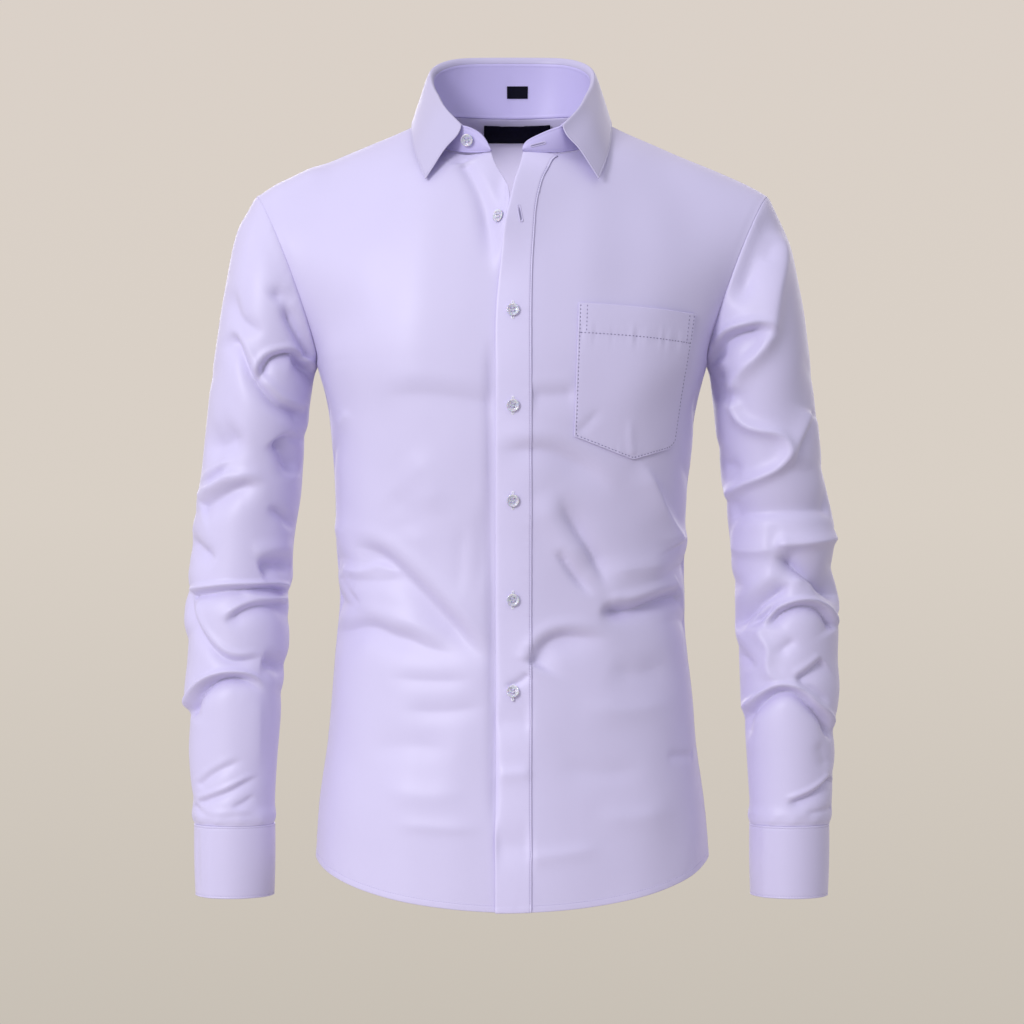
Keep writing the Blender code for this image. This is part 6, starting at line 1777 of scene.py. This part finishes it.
# ---------------------------------------------------------------- sheets: what each piece was cut from (m)
CUTS = {
    "cloth_front_right": ((0.262, 0.740), 0.170, ()),
    "cloth_front_left": ((0.262, 0.740), 0.170, ()),
    "cloth_placket": ((0.031, 0.710), None, ()),
    "cloth_back": ((0.520, 0.690), 0.268, ()),
    "cloth_yoke": ((0.470, 0.160), 0.058, ()),
    "cloth_sleeve_right": ((0.400, 0.600), 0.164, ()),
    "cloth_sleeve_left": ((0.400, 0.600), 0.164, ()),
    "cloth_cuff_right": ((0.251, 0.067), None, ()),
    "cloth_cuff_left": ((0.251, 0.067), None, ()),
    "cloth_stand": ((0.460, 0.038), None, ()),
    "cloth_leaf": ((0.430, 0.060), None, ()),
    "cloth_pocket": ((0.107, 0.138), 0.0145, ()),
    "satin_label_neck": ((0.066, 0.0175), None, ()),
    "satin_label_size": ((0.0200, 0.0115), None, ()),
}


def area_of(ob):
    return sum(p.area for p in ob.data.polygons) / 2.0


for _name, (_flat, _area, _with) in CUTS.items():
    _ob = bpy.data.objects[_name]
    print("area", _name, round(area_of(_ob), 5), "flat", _area or round(_flat[0] * _flat[1], 5), "tris",
          sum(len(p.vertices) - 2 for p in _ob.data.polygons))
print("triangles in all", sum(sum(len(p.vertices) - 2 for p in o.data.polygons) for o in MADE))


# ---------------------------------------------------------------- floor, light, camera
def floor():
    n = 96
    V, F = [(0.0, 0.0, 0.0)], []
    for i in range(n):
        a = 2 * math.pi * i / n
        V.append((2600.0 * math.cos(a), 2600.0 * math.sin(a), 0.0))
    for i in range(n):
        F.append((0, 1 + i, 1 + (i + 1) % n))
    m, t, b = nodes_of("floor_pale")
    geo = t.nodes.new("ShaderNodeTexCoord")
    ln = t.nodes.new("ShaderNodeVectorMath")
    ln.operation = "LENGTH"
    link(t, geo.outputs["Object"], ln.inputs[0])
    mr = t.nodes.new("ShaderNodeMapRange")
    mr.interpolation_type = "SMOOTHSTEP"
    mr.inputs["From Min"].default_value = 0.9
    mr.inputs["From Max"].default_value = 2.5
    mr.inputs["To Min"].default_value = 1.0
    mr.inputs["To Max"].default_value = 0.0
    link(t, ln.outputs["Value"], mr.inputs["Value"])
    link(t, mr.outputs["Result"], b.inputs["Alpha"])
    b.inputs["Base Color"].default_value = (0.62, 0.58, 0.53, 1)
    b.inputs["Roughness"].default_value = 0.9
    ob = put_mesh("floor", V, F, [m])
    ob.location = (0, 0, -1.3)


def area(name, at, aim, size, power, colour):
    li = bpy.data.lights.new(name, "AREA")
    li.shape, li.size, li.energy, li.color = "DISK", size, power, colour
    ob = bpy.data.objects.new(name, li)
    bpy.context.scene.collection.objects.link(ob)
    ob.location = at
    ob.rotation_euler = (Vector(aim) - Vector(at)).to_track_quat("-Z", "Y").to_euler()
    return ob


floor()
area("key", (-1.85, -2.85, 0.85), (0, 0, -0.35), 1.1, 54, (0.97, 0.965, 1.0))
area("back_left", (-0.7, 3.2, 0.5), (0, 0, -0.3), 1.8, 24, (1.0, 0.99, 0.98))
area("back_right", (1.3, 3.0, 0.5), (0, 0, -0.3), 1.8, 10, (1.0, 0.99, 0.98))


def glow(name, at, aim, radius, power):
    """Light that comes through the thin cloth into the shirt, towards its back below the collar."""
    li = bpy.data.lights.new(name, "SPOT")
    li.shadow_soft_size, li.energy, li.color = radius, power, (1.0, 0.985, 1.0)
    li.spot_size, li.spot_blend = math.radians(54), 0.9
    ob = bpy.data.objects.new(name, li)
    bpy.context.scene.collection.objects.link(ob)
    ob.location = at
    ob.rotation_euler = (Vector(aim) - Vector(at)).to_track_quat("-Z", "Y").to_euler()
    ob.visible_camera = False
    return ob


glow("inside_neck", (0.0, -0.05, -0.115), (0.0, 0.09, -0.066), 0.02, 0.72)

world = bpy.data.worlds.new("studio")
bpy.context.scene.world = world
world.use_nodes = True
_t = world.node_tree
for _n in list(_t.nodes):
    _t.nodes.remove(_n)
_out = _t.nodes.new("ShaderNodeOutputWorld")
_bg = _t.nodes.new("ShaderNodeBackground")
_co = _t.nodes.new("ShaderNodeTexCoord")
_sep = _t.nodes.new("ShaderNodeSeparateXYZ")
_cr = _t.nodes.new("ShaderNodeValToRGB")
_t.links.new(_co.outputs["Generated"], _sep.inputs[0])
_mr = _t.nodes.new("ShaderNodeMapRange")
_mr.inputs["From Min"].default_value = -0.25
_mr.inputs["From Max"].default_value = 0.25
_t.links.new(_sep.outputs[2], _mr.inputs["Value"])
_t.links.new(_mr.outputs["Result"], _cr.inputs[0])
_cr.color_ramp.elements[0].position = 0.1
_cr.color_ramp.elements[0].color = (0.545, 0.500, 0.438, 1)
_cr.color_ramp.elements[1].position = 0.5
_cr.color_ramp.elements[1].color = (0.690, 0.628, 0.560, 1)
_top = _cr.color_ramp.elements.new(1.0)
_top.color = (0.715, 0.642, 0.588, 1)


def toward(direction, low, high):
    """How far the world's direction lies towards the given one, 0 to 1."""
    dot = _t.nodes.new("ShaderNodeVectorMath")
    dot.operation = "DOT_PRODUCT"
    _t.links.new(_co.outputs["Generated"], dot.inputs[0])
    dot.inputs[1].default_value = Vector(direction).normalized()
    r = _t.nodes.new("ShaderNodeMapRange")
    r.interpolation_type = "SMOOTHSTEP"
    r.inputs["From Min"].default_value = low
    r.inputs["From Max"].default_value = high
    _t.links.new(dot.outputs["Value"], r.inputs["Value"])
    return r.outputs["Result"]


def blend(colour, other, factor):
    m = _t.nodes.new("ShaderNodeMix")
    m.data_type = "RGBA"
    _t.links.new(factor, m.inputs["Factor"])
    _t.links.new(colour, m.inputs["A"])
    m.inputs["B"].default_value = (*other, 1.0)
    return m.outputs["Result"]


_sky = blend(_cr.outputs[0], (0.565, 0.565, 0.60), toward((0.0, -1.0, 0.0), -0.8, -0.2))
_sky = blend(_sky, (0.86, 0.86, 0.91), toward((-0.4, -0.45, 0.8), 0.15, 0.95))
_sky = blend(_sky, (0.16, 0.16, 0.175), toward((0.4, -0.45, -0.8), 0.1, 0.9))
_t.links.new(_sky, _bg.inputs[0])
_bg.inputs[1].default_value = 1.0
_t.links.new(_bg.outputs[0], _out.inputs[0])

cam = bpy.data.cameras.new("camera")
cam.sensor_width = 36.0
cam.lens = 114.64
cam_ob = bpy.data.objects.new("camera", cam)
bpy.context.scene.collection.objects.link(cam_ob)
cam_ob.location = (0.0, -3.0, -0.35)
cam_ob.rotation_euler = (math.radians(90), 0, 0)
bpy.context.scene.camera = cam_ob
bpy.context.scene.view_settings.view_transform = "Standard"
bpy.context.scene.view_settings.look = "None"
bpy.context.scene.view_settings.exposure = 0.0
bpy.context.scene.view_settings.gamma = 1.0

bpy.context.view_layer.update()
